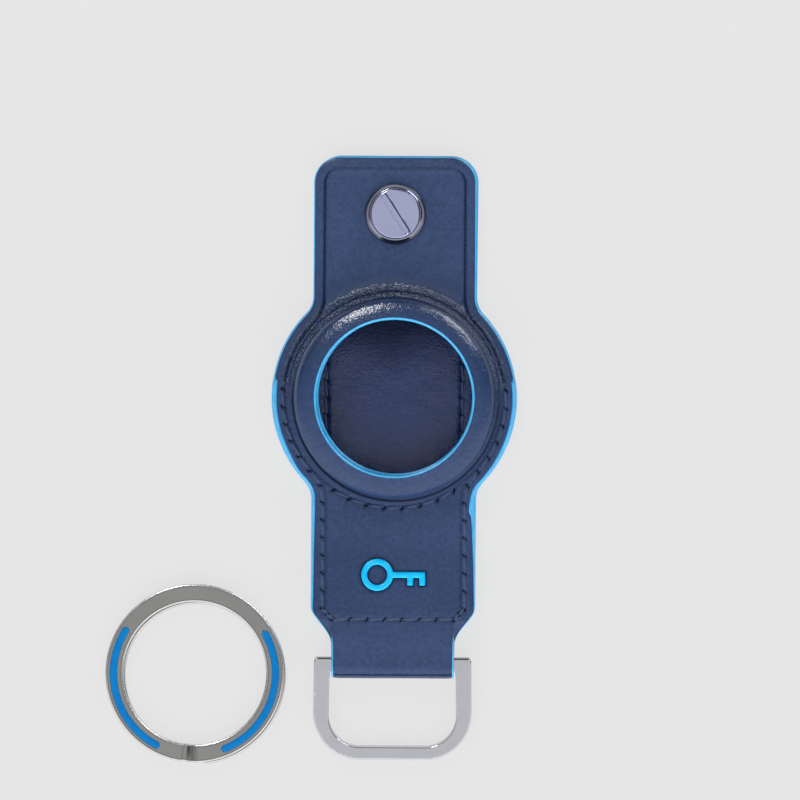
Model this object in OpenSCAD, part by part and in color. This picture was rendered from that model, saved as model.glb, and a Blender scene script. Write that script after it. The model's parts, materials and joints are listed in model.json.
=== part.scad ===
// Leather holder for a coin-shaped tracker tag, with a screwed flap, a D-ring and a split key ring.
// It lies on its back: +Z out of the front, +Y towards the screw, origin below the pocket's centre.

/* [Outline] */
// Width of the flat brim round the moulded pocket, with its painted edge
brim_w = 3.2; // [2.7:0.1:4.5]
// Half width of the two straps, with their painted edges
strap_half_w = 14.95; // [13.5:0.05:16]
// Radius of the hollow corners between body and straps
neck_r = 4.2; // [3:0.1:6]
// Distance from the pocket's centre to the top edge
top_y = 44; // [42:0.5:48]
// Radius of the two top corners
top_corner_r = 5; // [3:0.1:6]
// Distance from the pocket's centre to the end of the lower strap's sides
shoulder_y = 38.8; // [37.4:0.1:39.4]
// Distance from the pocket's centre to the start of the tongue
tongue_y = 43.6; // [43:0.1:44.2]
// Half width of the tongue round the D-ring
tongue_half_w = 11.05; // [10:0.05:11.2]
// Distance from the pocket's centre to the line where the flap bends
fold_y = 3; // [2:0.1:4]

/* [Leather] */
// Thickness of the outer leather
outer_t = 1.1; // [0.9:0.05:1.3]
// Thickness of the lining leather
lining_t = 0.7; // [0.5:0.05:0.9]
// Thickness of the edge paint on a free edge
paint_t = 0.45; // [0.3:0.05:0.6]
// Width of the paint over the rounded edge of the sewn half
sewn_paint_t = 0.85; // [0.7:0.05:1]

/* [Tag pocket] */
// Inner radius of the moulded pocket, for a tag of 31.9 mm
pocket_r = 16.3; // [16:0.05:16.6]
// Height of the pocket at the window's edge, over its floor
pocket_h = 6.4; // [6:0.1:7]
// Radius of the round window
window_r = 14.3; // [12.5:0.1:15]
// Radius of the moulding's round shoulder
shoulder_r = 2.2; // [2:0.1:2.6]
// Radius of the low dome between the shoulder and the window
dome_r = 8; // [7:0.5:12]
// Slope in degrees at which the shoulder runs into the dome
dome_slope_a = 28; // [22:1:34]
// Radius of the hollow corner at the foot of the moulding
foot_r = 1; // [0.7:0.1:1.3]

/* [Screw] */
// Distance from the pocket's centre to the screw
screw_y = 33.2; // [32:0.1:34.5]
// Radius of the cup washer
washer_r = 5.5; // [5:0.1:6]
// Height of the cup washer
washer_h = 1.5; // [1.3:0.1:1.8]
// Thickness of the washer's floor under the screw head
washer_floor_t = 0.5; // [0.4:0.05:0.6]
// Height of the washer's upright rim below its bevel
washer_rim_h = 0.6; // [0.4:0.05:0.8]
// Radius of the screw head
head_r = 4.45; // [4:0.05:4.6]
// Length of the slot in the screw head
slot_l = 8.3; // [6:0.1:8.4]
// Width of the slot in the screw head
slot_w = 1; // [0.8:0.1:1.2]
// Depth of the slot in the screw head
slot_d = 0.5; // [0.3:0.05:0.6]
// Radius of the screw's shank
shank_r = 1.45; // [1.3:0.05:1.5]
// Outer radius of the threaded post
post_r = 2.3; // [2.2:0.05:2.4]
// Radius of the post's head in the back
post_head_r = 4.5; // [4:0.1:5]
// Thickness of the post's head
post_head_t = 0.7; // [0.5:0.05:0.8]

/* [D-ring] */
// Play between the leather loop and each side of the D-ring
d_play_w = 0.55; // [0.4:0.05:1.2]
// Distance from the middle of the hinge bar to the outer end of the D-ring
d_h = 17.5; // [16:0.1:20]
// Width of the D-ring's two sides, seen from the front
d_side_w = 2.8; // [2.4:0.05:3]
// Width of its hinge bar inside the leather
d_top_w = 2; // [1.8:0.05:2.2]
// Width of its outer end
d_foot_w = 2.3; // [2:0.05:2.8]
// Thickness of the D-ring
d_bar_t = 2.6; // [2:0.05:2.8]
// Radius of its rounded outer edges
d_edge_r = 0.3; // [0.2:0.05:0.5]
// Outer radius of the two round corners
d_corner_r = 8.4; // [7:0.1:9]
// Radius of the two round corners of its eye
d_eye_r = 5.6; // [4.5:0.1:6.5]
// Radius of the two hollow corners at the hinge bar
d_inner_r = 0.8; // [0.5:0.1:1.2]
// Distance from the start of the leather tongue to the hinge bar
d_reach = 4.5; // [4.2:0.1:6]

/* [Key ring] */
// Outer radius of the split ring
key_r = 16.2; // [15:0.1:17]
// Width of its flat wire
wire_w = 3.25; // [3:0.05:3.5]
// Thickness of its flat wire
wire_t = 1.2; // [1:0.05:1.4]
// Sideways distance of its centre from the holder's middle line
key_x = 35.9; // [35.5:0.1:45]
// Distance of its centre below the pocket's centre
key_y = 50.2; // [40:0.1:60]
// Width of the two enamel lines
enamel_w = 1.3; // [1:0.1:1.5]
// Depth of the two enamel lines
enamel_d = 0.3; // [0.2:0.05:0.4]

/* [Stitching] */
// Distance between two stitches
stitch_pitch = 3.1; // [2.8:0.1:3.6]
// Length of one stitch
stitch_l = 2.4; // [2:0.1:2.6]
// Width of the thread
thread_w = 0.7; // [0.6:0.05:0.8]
// Height of a stitch over the floor of its channel
thread_h = 0.45; // [0.35:0.05:0.5]
// Width of the pressed channel under the stitches
channel_w = 1; // [0.95:0.05:1.1]
// Depth of the pressed channel
channel_d = 0.3; // [0.2:0.05:0.35]

/* [Badge] */
// Length of the key sign on the lower strap
badge_l = 11.6; // [9:0.1:13]
// Outer radius of the key sign's bow
bow_r = 2.9; // [2.4:0.1:3.2]
// Width of the key sign's lines
badge_line_w = 1.1; // [0.9:0.1:1.2]
// How far the key sign stands out
badge_t = 0.4; // [0.3:0.05:0.5]
// Distance from the pocket's centre to the key sign's middle
badge_y = 32; // [31:0.1:33]

/* [Hidden] */
$fn = 96;

// Overrun of the cuts, and half of the cut between flap and body
over = 0.5;
fold_gap = 0.05;

// Heights of the leather layers where they lie flat
z_back = outer_t;
z_floor = outer_t + lining_t;
z_lining = z_floor + lining_t;
z_top = z_lining + outer_t;

// Moulded ring round the pocket
wall_r = pocket_r + lining_t + outer_t;
crown_z = z_floor + pocket_h + lining_t + outer_t;
shoulder_x = wall_r - shoulder_r;
dome_x = shoulder_x - (dome_r - shoulder_r) * sin(dome_slope_a);
dome_z = crown_z - dome_r * cos(asin((window_r - dome_x) / dome_r));
shoulder_z = dome_z + (dome_r - shoulder_r) * cos(dome_slope_a);
dome_end_a = 90 - asin((window_r - over - dome_x) / dome_r);
foot_edge_r = wall_r + foot_r;
body_r = foot_edge_r + brim_w;
window_paint_t = 0.35;
lining_window_step = 0.3;
lining_window_shift = 0.12;
paint_inset_z = 0.12;

// Hollow corners between body and straps keep their centres at every inset
neck_x = strap_half_w + neck_r;
neck_y = sqrt(pow(body_r + neck_r, 2) - pow(neck_x, 2));
neck_a = atan2(neck_y, neck_x);

// The slanted ends of the lower strap
slant_a = atan2(tongue_y - shoulder_y, strap_half_w - tongue_half_w);
slant_shift_share = tan((90 - slant_a) / 2);

// Crease on the flap
crease_inset = 2.2;
crease_w = 0.4;
crease_d = 0.25;

// Seams
seam_inset = 2.1;
seam_start_y = 1.4;
seam_bottom_y = 40;
seam_corner = 1.9;
arc_seam_gap = 0.85;
arc_seam_r = foot_edge_r + arc_seam_gap;
arc_seam_half_a = 33;
lining_seam_gap = 1.6;
lining_seam_x = window_r - lining_seam_gap;
lining_seam_half_l = 9.3;

// Screw and post
washer_hole_gap = 0.15;
washer_hole_r = shank_r + washer_hole_gap;
head_gap = 0.05;
head_z = z_top + washer_floor_t;
head_t = washer_h - washer_floor_t - head_gap;
head_edge = 0.15;
bevel_top_w = 0.15;
slot_a = -57;
post_top_gap = 0.1;
post_top_z = z_top - post_top_gap;
thread_gap = 0.1;
post_bore_r = shank_r + thread_gap;
post_bore_floor_t = 0.3;
post_bore_z = post_head_t + post_bore_floor_t;
shank_end_gap = 0.2;
shank_end_z = post_bore_z + shank_end_gap;
flap_hole_gap = 0.6;
flap_hole_r = post_r + flap_hole_gap;
post_gap = 0.05;

// D-ring and its leather loop
d_w = 2 * (tongue_half_w + d_play_w + d_side_w);
loop_gap = 0.1;
d_bar_y = tongue_y + d_reach;
loop_r = norm([d_top_w, d_bar_t]) / 2 + loop_gap;
loop_outer_r = loop_r + outer_t;
bar_z = loop_outer_r;
loop_root_l = 1.4;
d_rim_w = 1.5;
loop_apex_y = tongue_y + loop_root_l;
loop_apex_z = z_floor;
apex_l = norm([d_bar_y - loop_apex_y, bar_z - loop_apex_z]);
apex_a = -atan2(bar_z - loop_apex_z, d_bar_y - loop_apex_y);
touch_a = acos(loop_r / apex_l);
loop_half_w = tongue_half_w - paint_t;
floor_gap = 0.02;
droop_side = d_h - d_edge_r;
droop_up = d_bar_t / 2 - d_edge_r;
droop = asin((bar_z - d_edge_r - floor_gap) / norm([droop_side, droop_up]))
    - atan2(droop_up, droop_side);

// Split ring: where its upper turn ends and where the wire changes turns
key_mid_r = key_r - wire_w / 2;
turn_gap = 0.06;
key_top_z = 2 * wire_t + turn_gap;
wire_edge_r = 0.25;
upper_end_a = 261.6;
cross_low_a = 265.1;
cross_high_a = 273;
lower_end_a = 275.5;
turn_lap_a = 1.5;
cross_inset = 0.04;
enamel_shift = 0.12;
enamel_r = key_mid_r + enamel_shift;
enamel_left_start_a = 148.4;
enamel_left_end_a = 242.2;
enamel_right_start_a = -67.5;
enamel_right_end_a = 29.3;
enamel_gap = 0.02;

// Key sign
tooth_h = 1.9;
tooth_step = 2.2;

// Colours
leather_c = [0.20, 0.25, 0.38];
lining_c = [0.12, 0.15, 0.27];
thread_c = [0.10, 0.13, 0.25];
paint_c = [0.20, 0.66, 0.93];
steel_c = [0.66, 0.67, 0.70];
dark_steel_c = [0.35, 0.35, 0.38];
enamel_c = [0.0, 0.47, 0.82];

// Points along an arc, from angle a to angle b
function arc(c, r, a, b, n) = [for (i = [0:n]) c + r * [cos(a + (b - a) * i / n), sin(a + (b - a) * i / n)]];

// The same without its last point, where the next arc begins
function open_arc(c, r, a, b, n) = [for (i = [0:n - 1]) c + r * [cos(a + (b - a) * i / n), sin(a + (b - a) * i / n)]];

function flipped(path) = [for (i = [len(path) - 1:-1:0]) path[i]];

function mirrored(path) = [for (p = flipped(path)) [-p[0], p[1]]];

// Right side of the body and the lower strap, from the height y down to the depth end_y
function lower_side(inset, y, end_y) = concat(
    arc([0, 0], body_r - inset, asin(y / (body_r - inset)), -neck_a, 24),
    arc([neck_x, -neck_y], neck_r + inset, 180 - neck_a, 180, 8),
    [
        [strap_half_w - inset, -shoulder_y + inset * slant_shift_share],
        [tongue_half_w - inset, -tongue_y + inset * slant_shift_share],
        [tongue_half_w - inset, -end_y]
    ]
);

// Right side of the body and the upper strap, from the height y to the middle of the top edge
function upper_side(inset, y) = concat(
    arc([0, 0], body_r - inset, asin(y / (body_r - inset)), neck_a, 16),
    arc([neck_x, neck_y], neck_r + inset, 180 + neck_a, 180, 8),
    arc([strap_half_w - top_corner_r, top_y - top_corner_r], top_corner_r - inset, 0, 90, 10)
);

// Seam round the lower half, from the right side to the left one
function seam_side(inset) = concat(
    arc([0, 0], body_r - inset, asin(seam_start_y / (body_r - inset)), -neck_a, 24),
    arc([neck_x, -neck_y], neck_r + inset, 180 - neck_a, 180, 8),
    [
        [strap_half_w - inset, -seam_bottom_y + seam_corner + (inset - seam_inset) * tan(22.5)],
        [strap_half_w - inset - seam_corner + (inset - seam_inset) * (1 - tan(22.5)),
            -seam_bottom_y + inset - seam_inset]
    ]
);

function seam_path(inset) = concat(seam_side(inset), mirrored(seam_side(inset)));

// The same seam as stretches that meet where it bends, so that a stitch ends at each bend
function seam_stretches(inset) = let (
    side = seam_side(inset),
    last = len(side) - 1,
    long_side = [for (i = [0:last - 1]) side[i]],
    corner = [side[last - 1], side[last]],
    bottom = [side[last], mirrored(side)[0]]
) [long_side, corner, bottom, mirrored(corner), mirrored(long_side)];

function arc_seam_path(r) = arc([0, 0], r, 270 - arc_seam_half_a, 270 + arc_seam_half_a, 24);

function lining_seam(side) = [
    [side * lining_seam_x, -lining_seam_half_l],
    [side * lining_seam_x, lining_seam_half_l]
];

function crease_side(inset) = upper_side(inset, fold_y + fold_gap);

function crease_path(inset) = concat(crease_side(inset), mirrored(crease_side(inset)));

// Length of a path up to each of its points, and the point at a length
function lengths(path) = [
    for (i = 0, s = 0; i < len(path); i = i + 1, s = i < len(path) ? s + norm(path[i] - path[i - 1]) : s) s
];

function point_at(path, runs, s) =
    let (i = max([for (j = [0:len(path) - 2]) if (runs[j] <= max(s, 0)) j]))
    path[i] + (path[i + 1] - path[i]) * (s - runs[i]) / (runs[i + 1] - runs[i]);

// Section of the moulded ring at a depth below its outer surface, from its foot to the window
function ring_curve(depth) = concat(
    arc([foot_edge_r, z_top + foot_r], foot_r + depth, 270, 180, 8),
    open_arc([shoulder_x, shoulder_z], shoulder_r - depth, 0, 90 - dome_slope_a, 9),
    arc([dome_x, dome_z], dome_r - depth, 90 - dome_slope_a, dome_end_a, 8)
);

function rounded_section(w, t, r) = concat(
    arc([w / 2 - r, t / 2 - r], r, 0, 90, 4),
    arc([-w / 2 + r, t / 2 - r], r, 90, 180, 4),
    arc([-w / 2 + r, -t / 2 + r], r, 180, 270, 4),
    arc([w / 2 - r, -t / 2 + r], r, 270, 360, 4)
);

function slot_outline(l, w) = concat(
    arc([(l - w) / 2, 0], w / 2, -90, 90, 6),
    arc([-(l - w) / 2, 0], w / 2, 90, 270, 6)
);

function arc_slot_outline(r, w, a, b) = concat(
    arc([0, 0], r + w / 2, a, b, 30),
    arc(r * [cos(b), sin(b)], w / 2, b, b + 180, 6),
    arc([0, 0], r - w / 2, b, a, 30),
    arc(r * [cos(a), sin(a)], w / 2, a + 180, a + 360, 6)
);

// Keeps what lies above or below the line where the flap bends
module flap_side() {
    intersection() {
        children();
        translate([-body_r - over, fold_y + fold_gap, 0])
            cube([2 * (body_r + over), top_y, crown_z + over]);
    }
}

module body_side() {
    intersection() {
        children();
        translate([-body_r - over, fold_y - fold_gap - body_r - d_bar_y, 0])
            cube([2 * (body_r + over), body_r + d_bar_y, crown_z + over]);
    }
}

module lower_shape(inset, y) {
    side = lower_side(inset, y, tongue_y);
    polygon(concat(side, mirrored(side)));
}

// The whole back, which is wider above the fold because its edge has less paint there
module back_shape() {
    side = concat(flipped(lower_side(sewn_paint_t, fold_y, tongue_y)), upper_side(paint_t, fold_y));
    polygon(concat(side, mirrored(side)));
}

module upper_shape(inset, y) {
    side = upper_side(inset, y);
    polygon(concat(side, mirrored(side)));
}

// A flat layer of the back, under both the sewn half and the flap
module back_layer(z, t) {
    translate([0, 0, z])
        linear_extrude(t)
            back_shape();
}

module moulded_ring(depth, t) {
    rotate_extrude()
        polygon(concat(ring_curve(depth), flipped(ring_curve(depth + t))));
}

// A layer of the front below the fold, with its part of the moulded ring
module front_layer(depth, t, hole_r) {
    difference() {
        union() {
            translate([0, 0, z_top - depth - t])
                linear_extrude(t)
                    difference() {
                        lower_shape(sewn_paint_t, fold_y - fold_gap);
                        circle(foot_edge_r);
                    }
            body_side() moulded_ring(depth, t);
        }
        window_cut(hole_r, depth);
    }
}

module flap_layer(depth, t, hole_r) {
    difference() {
        union() {
            translate([0, 0, z_top - depth - t])
                linear_extrude(t)
                    difference() {
                        upper_shape(paint_t, fold_y + fold_gap);
                        circle(foot_edge_r);
                    }
            flap_side() moulded_ring(depth, t);
        }
        window_cut(hole_r, depth);
        translate([0, screw_y, z_top - depth - t - over])
            cylinder(r = flap_hole_r, h = t + 2 * over);
    }
}

module window_cut(r, depth) {
    shift = depth > 0 ? lining_window_shift : 0;
    translate([shift, shift, z_top])
        cylinder(r = r, h = crown_z);
}

module channel(path_out, path_in, z) {
    translate([0, 0, z])
        linear_extrude(channel_d + over)
            polygon(concat(path_out, flipped(path_in)));
}

module seam_channels(z) {
    channel(seam_path(seam_inset - channel_w / 2), seam_path(seam_inset + channel_w / 2), z);
    channel(arc_seam_path(arc_seam_r + channel_w / 2), arc_seam_path(arc_seam_r - channel_w / 2), z);
}

// One row of equal stitches along a path
module stitch_row(path, h) {
    runs = lengths(path);
    total = runs[len(runs) - 1];
    n = max(1, round(total / stitch_pitch));
    for (i = [0:n - 1]) {
        middle = (i + 0.5) * total / n;
        a = point_at(path, runs, middle - stitch_l / 2);
        b = point_at(path, runs, middle + stitch_l / 2);
        translate((a + b) / 2)
            rotate(atan2(b[1] - a[1], b[0] - a[0]))
                linear_extrude(h)
                    polygon(slot_outline(stitch_l, thread_w));
    }
}

module panel_seams(h) {
    for (stretch = seam_stretches(seam_inset))
        stitch_row(stretch, h);
    stitch_row(arc_seam_path(arc_seam_r), h);
}

module window_bead(r, depth, t) {
    shift = depth > 0 ? lining_window_shift : 0;
    translate([shift, shift, crown_z - depth - t])
        linear_extrude(t)
            difference() {
                circle(r);
                circle(r - window_paint_t);
            }
}

module free_edge_band(z, t) {
    translate([0, 0, z])
        linear_extrude(t)
            polygon(concat(crease_path(0), flipped(crease_path(paint_t))));
}

module back_panel() {
    color(leather_c)
        difference() {
            back_layer(0, outer_t);
            translate([0, screw_y, -over])
                cylinder(r = post_head_r + post_gap, h = post_head_t + over);
            translate([0, screw_y, 0])
                cylinder(r = post_r + post_gap, h = outer_t + over);
            seam_channels(-over);
        }
}

module back_lining() {
    color(lining_c)
        difference() {
            back_layer(z_back, lining_t);
            translate([0, screw_y, 0])
                cylinder(r = post_r + post_gap, h = z_floor + over);
            for (side = [-1, 1])
                translate([side * lining_seam_x - channel_w / 2, -lining_seam_half_l - over, z_floor - channel_d])
                    cube([channel_w, 2 * (lining_seam_half_l + over), channel_d + over]);
        }
}

module front_panel() {
    color(leather_c)
        difference() {
            front_layer(0, outer_t, window_r + window_paint_t);
            seam_channels(z_top - channel_d);
        }
}

module front_lining() {
    color(lining_c)
        front_layer(outer_t, lining_t, window_r - lining_window_step + window_paint_t);
}

module flap_panel() {
    color(leather_c)
        difference() {
            flap_layer(0, outer_t, window_r + window_paint_t);
            translate([0, 0, z_top - crease_d])
                linear_extrude(crease_d + over)
                    polygon(concat(crease_path(crease_inset), flipped(crease_path(crease_inset + crease_w))));
        }
}

module flap_lining() {
    color(lining_c)
        flap_layer(outer_t, lining_t, window_r - lining_window_step + window_paint_t);
}

// The outer leather runs round the D-ring's bar from the front to the back
module ring_loop() {
    color(leather_c)
        loop_slice(-loop_half_w, 2 * loop_half_w);
}

module loop_slice(x, l) {
    bar = [-d_bar_y, bar_z];
    outside = concat(
        [[-tongue_y, 0]],
        arc(bar, loop_outer_r, 270, 90, 24),
        [[-tongue_y, z_top]]
    );
    hollow = concat(
        arc(bar, loop_r, apex_a + touch_a, 360 + apex_a - touch_a, 24),
        [[-loop_apex_y, loop_apex_z]]
    );
    translate([x, 0, 0])
        rotate([90, 0, 90])
            linear_extrude(l)
                difference() {
                    polygon(outside);
                    polygon(hollow);
                }
}

// Paint over the edge of the sewn half, down to the tongue
module sewn_edge_paint() {
    band = concat(
        lower_side(0, fold_y - fold_gap, tongue_y),
        flipped(lower_side(sewn_paint_t, fold_y - fold_gap, tongue_y))
    );
    core = concat(
        lower_side(paint_t / 2, fold_y - fold_gap, tongue_y),
        flipped(lower_side(sewn_paint_t, fold_y - fold_gap, tongue_y))
    );
    color(paint_c)
        for (side = [0, 1])
            mirror([side, 0, 0]) {
                translate([0, 0, paint_inset_z])
                    linear_extrude(z_top - 2 * paint_inset_z)
                        polygon(core);
                translate([0, 0, 3 * paint_inset_z])
                    linear_extrude(z_top - 6 * paint_inset_z)
                        polygon(band);
                loop_slice(loop_half_w, paint_t);
            }
}

module back_edge_paint() {
    color(paint_c)
        free_edge_band(paint_inset_z, z_floor - 2 * paint_inset_z);
}

module flap_edge_paint() {
    color(paint_c)
        free_edge_band(z_floor + paint_inset_z, z_floor - 2 * paint_inset_z);
}

module window_edge_lower() {
    color(paint_c)
        body_side() window_bead(window_r + window_paint_t, 0, outer_t);
}

module lining_edge_lower() {
    color(paint_c)
        body_side() window_bead(window_r - lining_window_step + window_paint_t, outer_t, lining_t);
}

module window_edge_upper() {
    color(paint_c)
        flap_side() window_bead(window_r + window_paint_t, 0, outer_t);
}

module lining_edge_upper() {
    color(paint_c)
        flap_side() window_bead(window_r - lining_window_step + window_paint_t, outer_t, lining_t);
}

module front_stitching() {
    color(thread_c)
        translate([0, 0, z_top - channel_d])
            panel_seams(thread_h);
}

// On the back the thread lies flush, so that the holder rests on its leather
module back_stitching() {
    color(thread_c)
        panel_seams(channel_d);
}

module lining_stitching() {
    color(thread_c)
        for (side = [-1, 1])
            translate([0, 0, z_floor - channel_d])
                stitch_row(lining_seam(side), thread_h);
}

module screw_post() {
    color(dark_steel_c)
        translate([0, screw_y, 0])
            difference() {
                union() {
                    cylinder(r = post_head_r, h = post_head_t);
                    cylinder(r = post_r, h = post_top_z);
                }
                translate([0, 0, post_bore_z])
                    cylinder(r = post_bore_r, h = post_top_z);
            }
}

module badge() {
    bow_x = -badge_l / 2 + bow_r;
    color(paint_c)
        translate([0, -badge_y, z_top])
            linear_extrude(badge_t) {
                difference() {
                    translate([bow_x, 0]) circle(bow_r);
                    translate([bow_x, 0]) circle(bow_r - badge_line_w);
                }
                translate([bow_x + bow_r - badge_line_w / 2, -badge_line_w / 2])
                    square([badge_l - 2 * bow_r + badge_line_w / 2, badge_line_w]);
                for (i = [0, 1])
                    translate([badge_l / 2 - badge_line_w - i * tooth_step, -tooth_h])
                        square([badge_line_w, tooth_h]);
            }
}

module cup_washer() {
    profile = [
        [washer_hole_r, 0],
        [washer_r, 0],
        [washer_r, washer_rim_h],
        [head_r + head_gap + bevel_top_w, washer_h],
        [head_r + head_gap, washer_h],
        [head_r + head_gap, washer_floor_t],
        [washer_hole_r, washer_floor_t]
    ];
    color(dark_steel_c)
        translate([0, screw_y, z_top])
            rotate_extrude()
                polygon(profile);
}

module flap_screw() {
    profile = [
        [0, 0],
        [head_r, 0],
        [head_r, head_t - head_edge],
        [head_r - head_edge, head_t],
        [0, head_t]
    ];
    color(steel_c)
        translate([0, screw_y, 0])
            difference() {
                union() {
                    translate([0, 0, head_z])
                        rotate_extrude()
                            polygon(profile);
                    translate([0, 0, shank_end_z])
                        cylinder(r = shank_r, h = head_z - shank_end_z + head_t / 2);
                }
                translate([0, 0, head_z + head_t - slot_d])
                    rotate(slot_a)
                        linear_extrude(slot_d + over)
                            polygon(slot_outline(slot_l, slot_w));
            }
}

// A straight stretch of the D-ring's rim along +X, whose middle runs along the axis
module rim_stretch(l) {
    rotate([90, 0, 90])
        linear_extrude(l)
            polygon(rounded_section(d_rim_w, d_bar_t, d_edge_r));
}

// Outline of the D-ring at an inset, with the middle of its hinge bar at the origin
function d_outline(inset) = let (
    x = d_w / 2 - inset,
    corner = [d_w / 2 - d_corner_r, d_corner_r - d_h]
) concat(
    [[-x, d_top_w / 2 - inset]],
    arc([-corner[0], corner[1]], d_corner_r - inset, 180, 270, 16),
    arc(corner, d_corner_r - inset, 270, 360, 16),
    [[x, d_top_w / 2 - inset]]
);

// Outline of its eye, with round corners at the foot and small ones at the hinge bar
function d_eye_outline() = let (
    x = d_w / 2 - d_side_w,
    top = -d_top_w / 2,
    foot = d_foot_w - d_h
) concat(
    arc([d_inner_r - x, top - d_inner_r], d_inner_r, 90, 180, 6),
    arc([d_eye_r - x, foot + d_eye_r], d_eye_r, 180, 270, 16),
    arc([x - d_eye_r, foot + d_eye_r], d_eye_r, 270, 360, 16),
    arc([x - d_inner_r, top - d_inner_r], d_inner_r, 0, 90, 6)
);

// The D-ring flat in its own plane: a plate with a round rim, cut out to its eye
module d_ring_flat() {
    middle_x = (d_w - d_rim_w) / 2;
    corner_x = d_w / 2 - d_corner_r;
    corner_y = d_h - d_corner_r;
    difference() {
        union() {
            translate([0, 0, -d_bar_t / 2])
                linear_extrude(d_bar_t)
                    polygon(d_outline(d_rim_w / 2));
            translate([-middle_x - d_rim_w / 2 + d_edge_r, (d_top_w - d_rim_w) / 2, 0])
                rim_stretch(2 * middle_x + d_rim_w - 2 * d_edge_r);
            translate([-corner_x, -d_h + d_rim_w / 2, 0])
                rim_stretch(2 * corner_x);
            for (side = [0, 1])
                mirror([side, 0, 0]) {
                    translate([middle_x, -corner_y, 0])
                        rotate(90)
                            rim_stretch(corner_y + d_top_w / 2 - d_edge_r);
                    translate([corner_x, -corner_y, 0])
                        rotate(-90)
                            rotate_extrude(angle = 90)
                                translate([d_corner_r - d_rim_w / 2, 0])
                                    polygon(rounded_section(d_rim_w, d_bar_t, d_edge_r));
                }
        }
        translate([0, 0, -d_bar_t / 2 - over])
            linear_extrude(d_bar_t + 2 * over)
                polygon(d_eye_outline());
    }
}

module d_ring() {
    color(steel_c)
        translate([0, -d_bar_y, bar_z])
            rotate([droop, 0, 0])
                d_ring_flat();
}

// One turn of the split ring's flat wire, between two angles
module key_turn(z, a, b) {
    translate([0, 0, z + wire_t / 2])
        rotate(a)
            rotate_extrude(angle = b - a)
                translate([key_mid_r, 0])
                    polygon(rounded_section(wire_w, wire_t, wire_edge_r));
}

// The slanted stretch that takes the wire from the lower turn to the upper one
module key_crossover() {
    mid_a = (cross_low_a + cross_high_a) / 2;
    half_l = key_mid_r * tan((cross_high_a - cross_low_a) / 2);
    lap = key_mid_r * tan(turn_lap_a);
    rise = wire_t + turn_gap;
    low = cross_inset;
    high = wire_t - cross_inset;
    outline = [
        [-half_l - lap, low],
        [-half_l, low],
        [half_l, rise + low],
        [half_l + lap, rise + low],
        [half_l + lap, rise + high],
        [half_l, rise + high],
        [-half_l, high],
        [-half_l - lap, high]
    ];
    w = wire_w - 2 * wire_edge_r;
    rotate(mid_a)
        translate([key_mid_r - w / 2, 0, 0])
            rotate([90, 0, 90])
                linear_extrude(w)
                    polygon(outline);
}

module enamel_line(start_a, end_a, gap, z, h) {
    translate([0, 0, z])
        linear_extrude(h)
            polygon(arc_slot_outline(enamel_r, enamel_w - 2 * gap, start_a, end_a));
}

module split_ring() {
    color(steel_c)
        translate([-key_x, -key_y, 0])
            difference() {
                union() {
                    key_turn(0, lower_end_a, 360 + cross_low_a);
                    key_turn(wire_t + turn_gap, cross_high_a, 360 + upper_end_a);
                    key_crossover();
                }
                enamel_line(enamel_left_start_a, enamel_left_end_a, 0, key_top_z - enamel_d, enamel_d + over);
                enamel_line(enamel_right_start_a, enamel_right_end_a, 0, key_top_z - enamel_d, enamel_d + over);
            }
}

module enamel_left() {
    color(enamel_c)
        translate([-key_x, -key_y, 0])
            enamel_line(enamel_left_start_a, enamel_left_end_a, enamel_gap, key_top_z - enamel_d, enamel_d);
}

module enamel_right() {
    color(enamel_c)
        translate([-key_x, -key_y, 0])
            enamel_line(enamel_right_start_a, enamel_right_end_a, enamel_gap, key_top_z - enamel_d, enamel_d);
}

back_panel();
back_lining();
front_panel();
front_lining();
ring_loop();
sewn_edge_paint();
back_edge_paint();
window_edge_lower();
lining_edge_lower();
front_stitching();
back_stitching();
lining_stitching();
screw_post();
badge();
flap_panel();
flap_lining();
flap_edge_paint();
window_edge_upper();
lining_edge_upper();
cup_washer();
flap_screw();
d_ring();
split_ring();
enamel_left();
enamel_right();
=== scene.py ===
from math import acos, asin, atan2, copysign, cos, degrees, hypot, pi, radians, sin, sqrt, tan

import bmesh
import bpy
import numpy as np
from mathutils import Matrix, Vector, noise
from mathutils.geometry import delaunay_2d_cdt
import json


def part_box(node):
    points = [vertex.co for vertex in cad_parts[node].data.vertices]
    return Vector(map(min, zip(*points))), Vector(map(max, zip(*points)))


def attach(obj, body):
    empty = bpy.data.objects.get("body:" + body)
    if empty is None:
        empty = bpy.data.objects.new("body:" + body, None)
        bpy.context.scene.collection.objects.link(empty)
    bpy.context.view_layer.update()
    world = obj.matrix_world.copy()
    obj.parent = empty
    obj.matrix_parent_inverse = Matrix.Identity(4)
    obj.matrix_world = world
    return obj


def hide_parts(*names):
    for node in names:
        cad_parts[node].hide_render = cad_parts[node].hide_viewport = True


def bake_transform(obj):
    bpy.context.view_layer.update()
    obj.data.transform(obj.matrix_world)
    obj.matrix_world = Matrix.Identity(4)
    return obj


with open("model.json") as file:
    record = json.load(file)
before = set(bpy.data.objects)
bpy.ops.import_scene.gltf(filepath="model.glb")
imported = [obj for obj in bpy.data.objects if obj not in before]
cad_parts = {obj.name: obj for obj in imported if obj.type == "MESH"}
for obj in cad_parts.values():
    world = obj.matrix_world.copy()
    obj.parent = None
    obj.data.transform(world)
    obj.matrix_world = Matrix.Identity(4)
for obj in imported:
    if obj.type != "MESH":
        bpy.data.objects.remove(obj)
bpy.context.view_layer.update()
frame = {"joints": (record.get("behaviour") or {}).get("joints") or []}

MM = 0.001
SHARP_A = radians(42)


def box_mm(node):
    low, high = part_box(node)
    return np.array(low) / MM, np.array(high) / MM


def joint_mm(name):
    joint = next(j for j in frame["joints"] if j["name"] == name)
    return np.array(joint["pos_m"]) / MM


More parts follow.
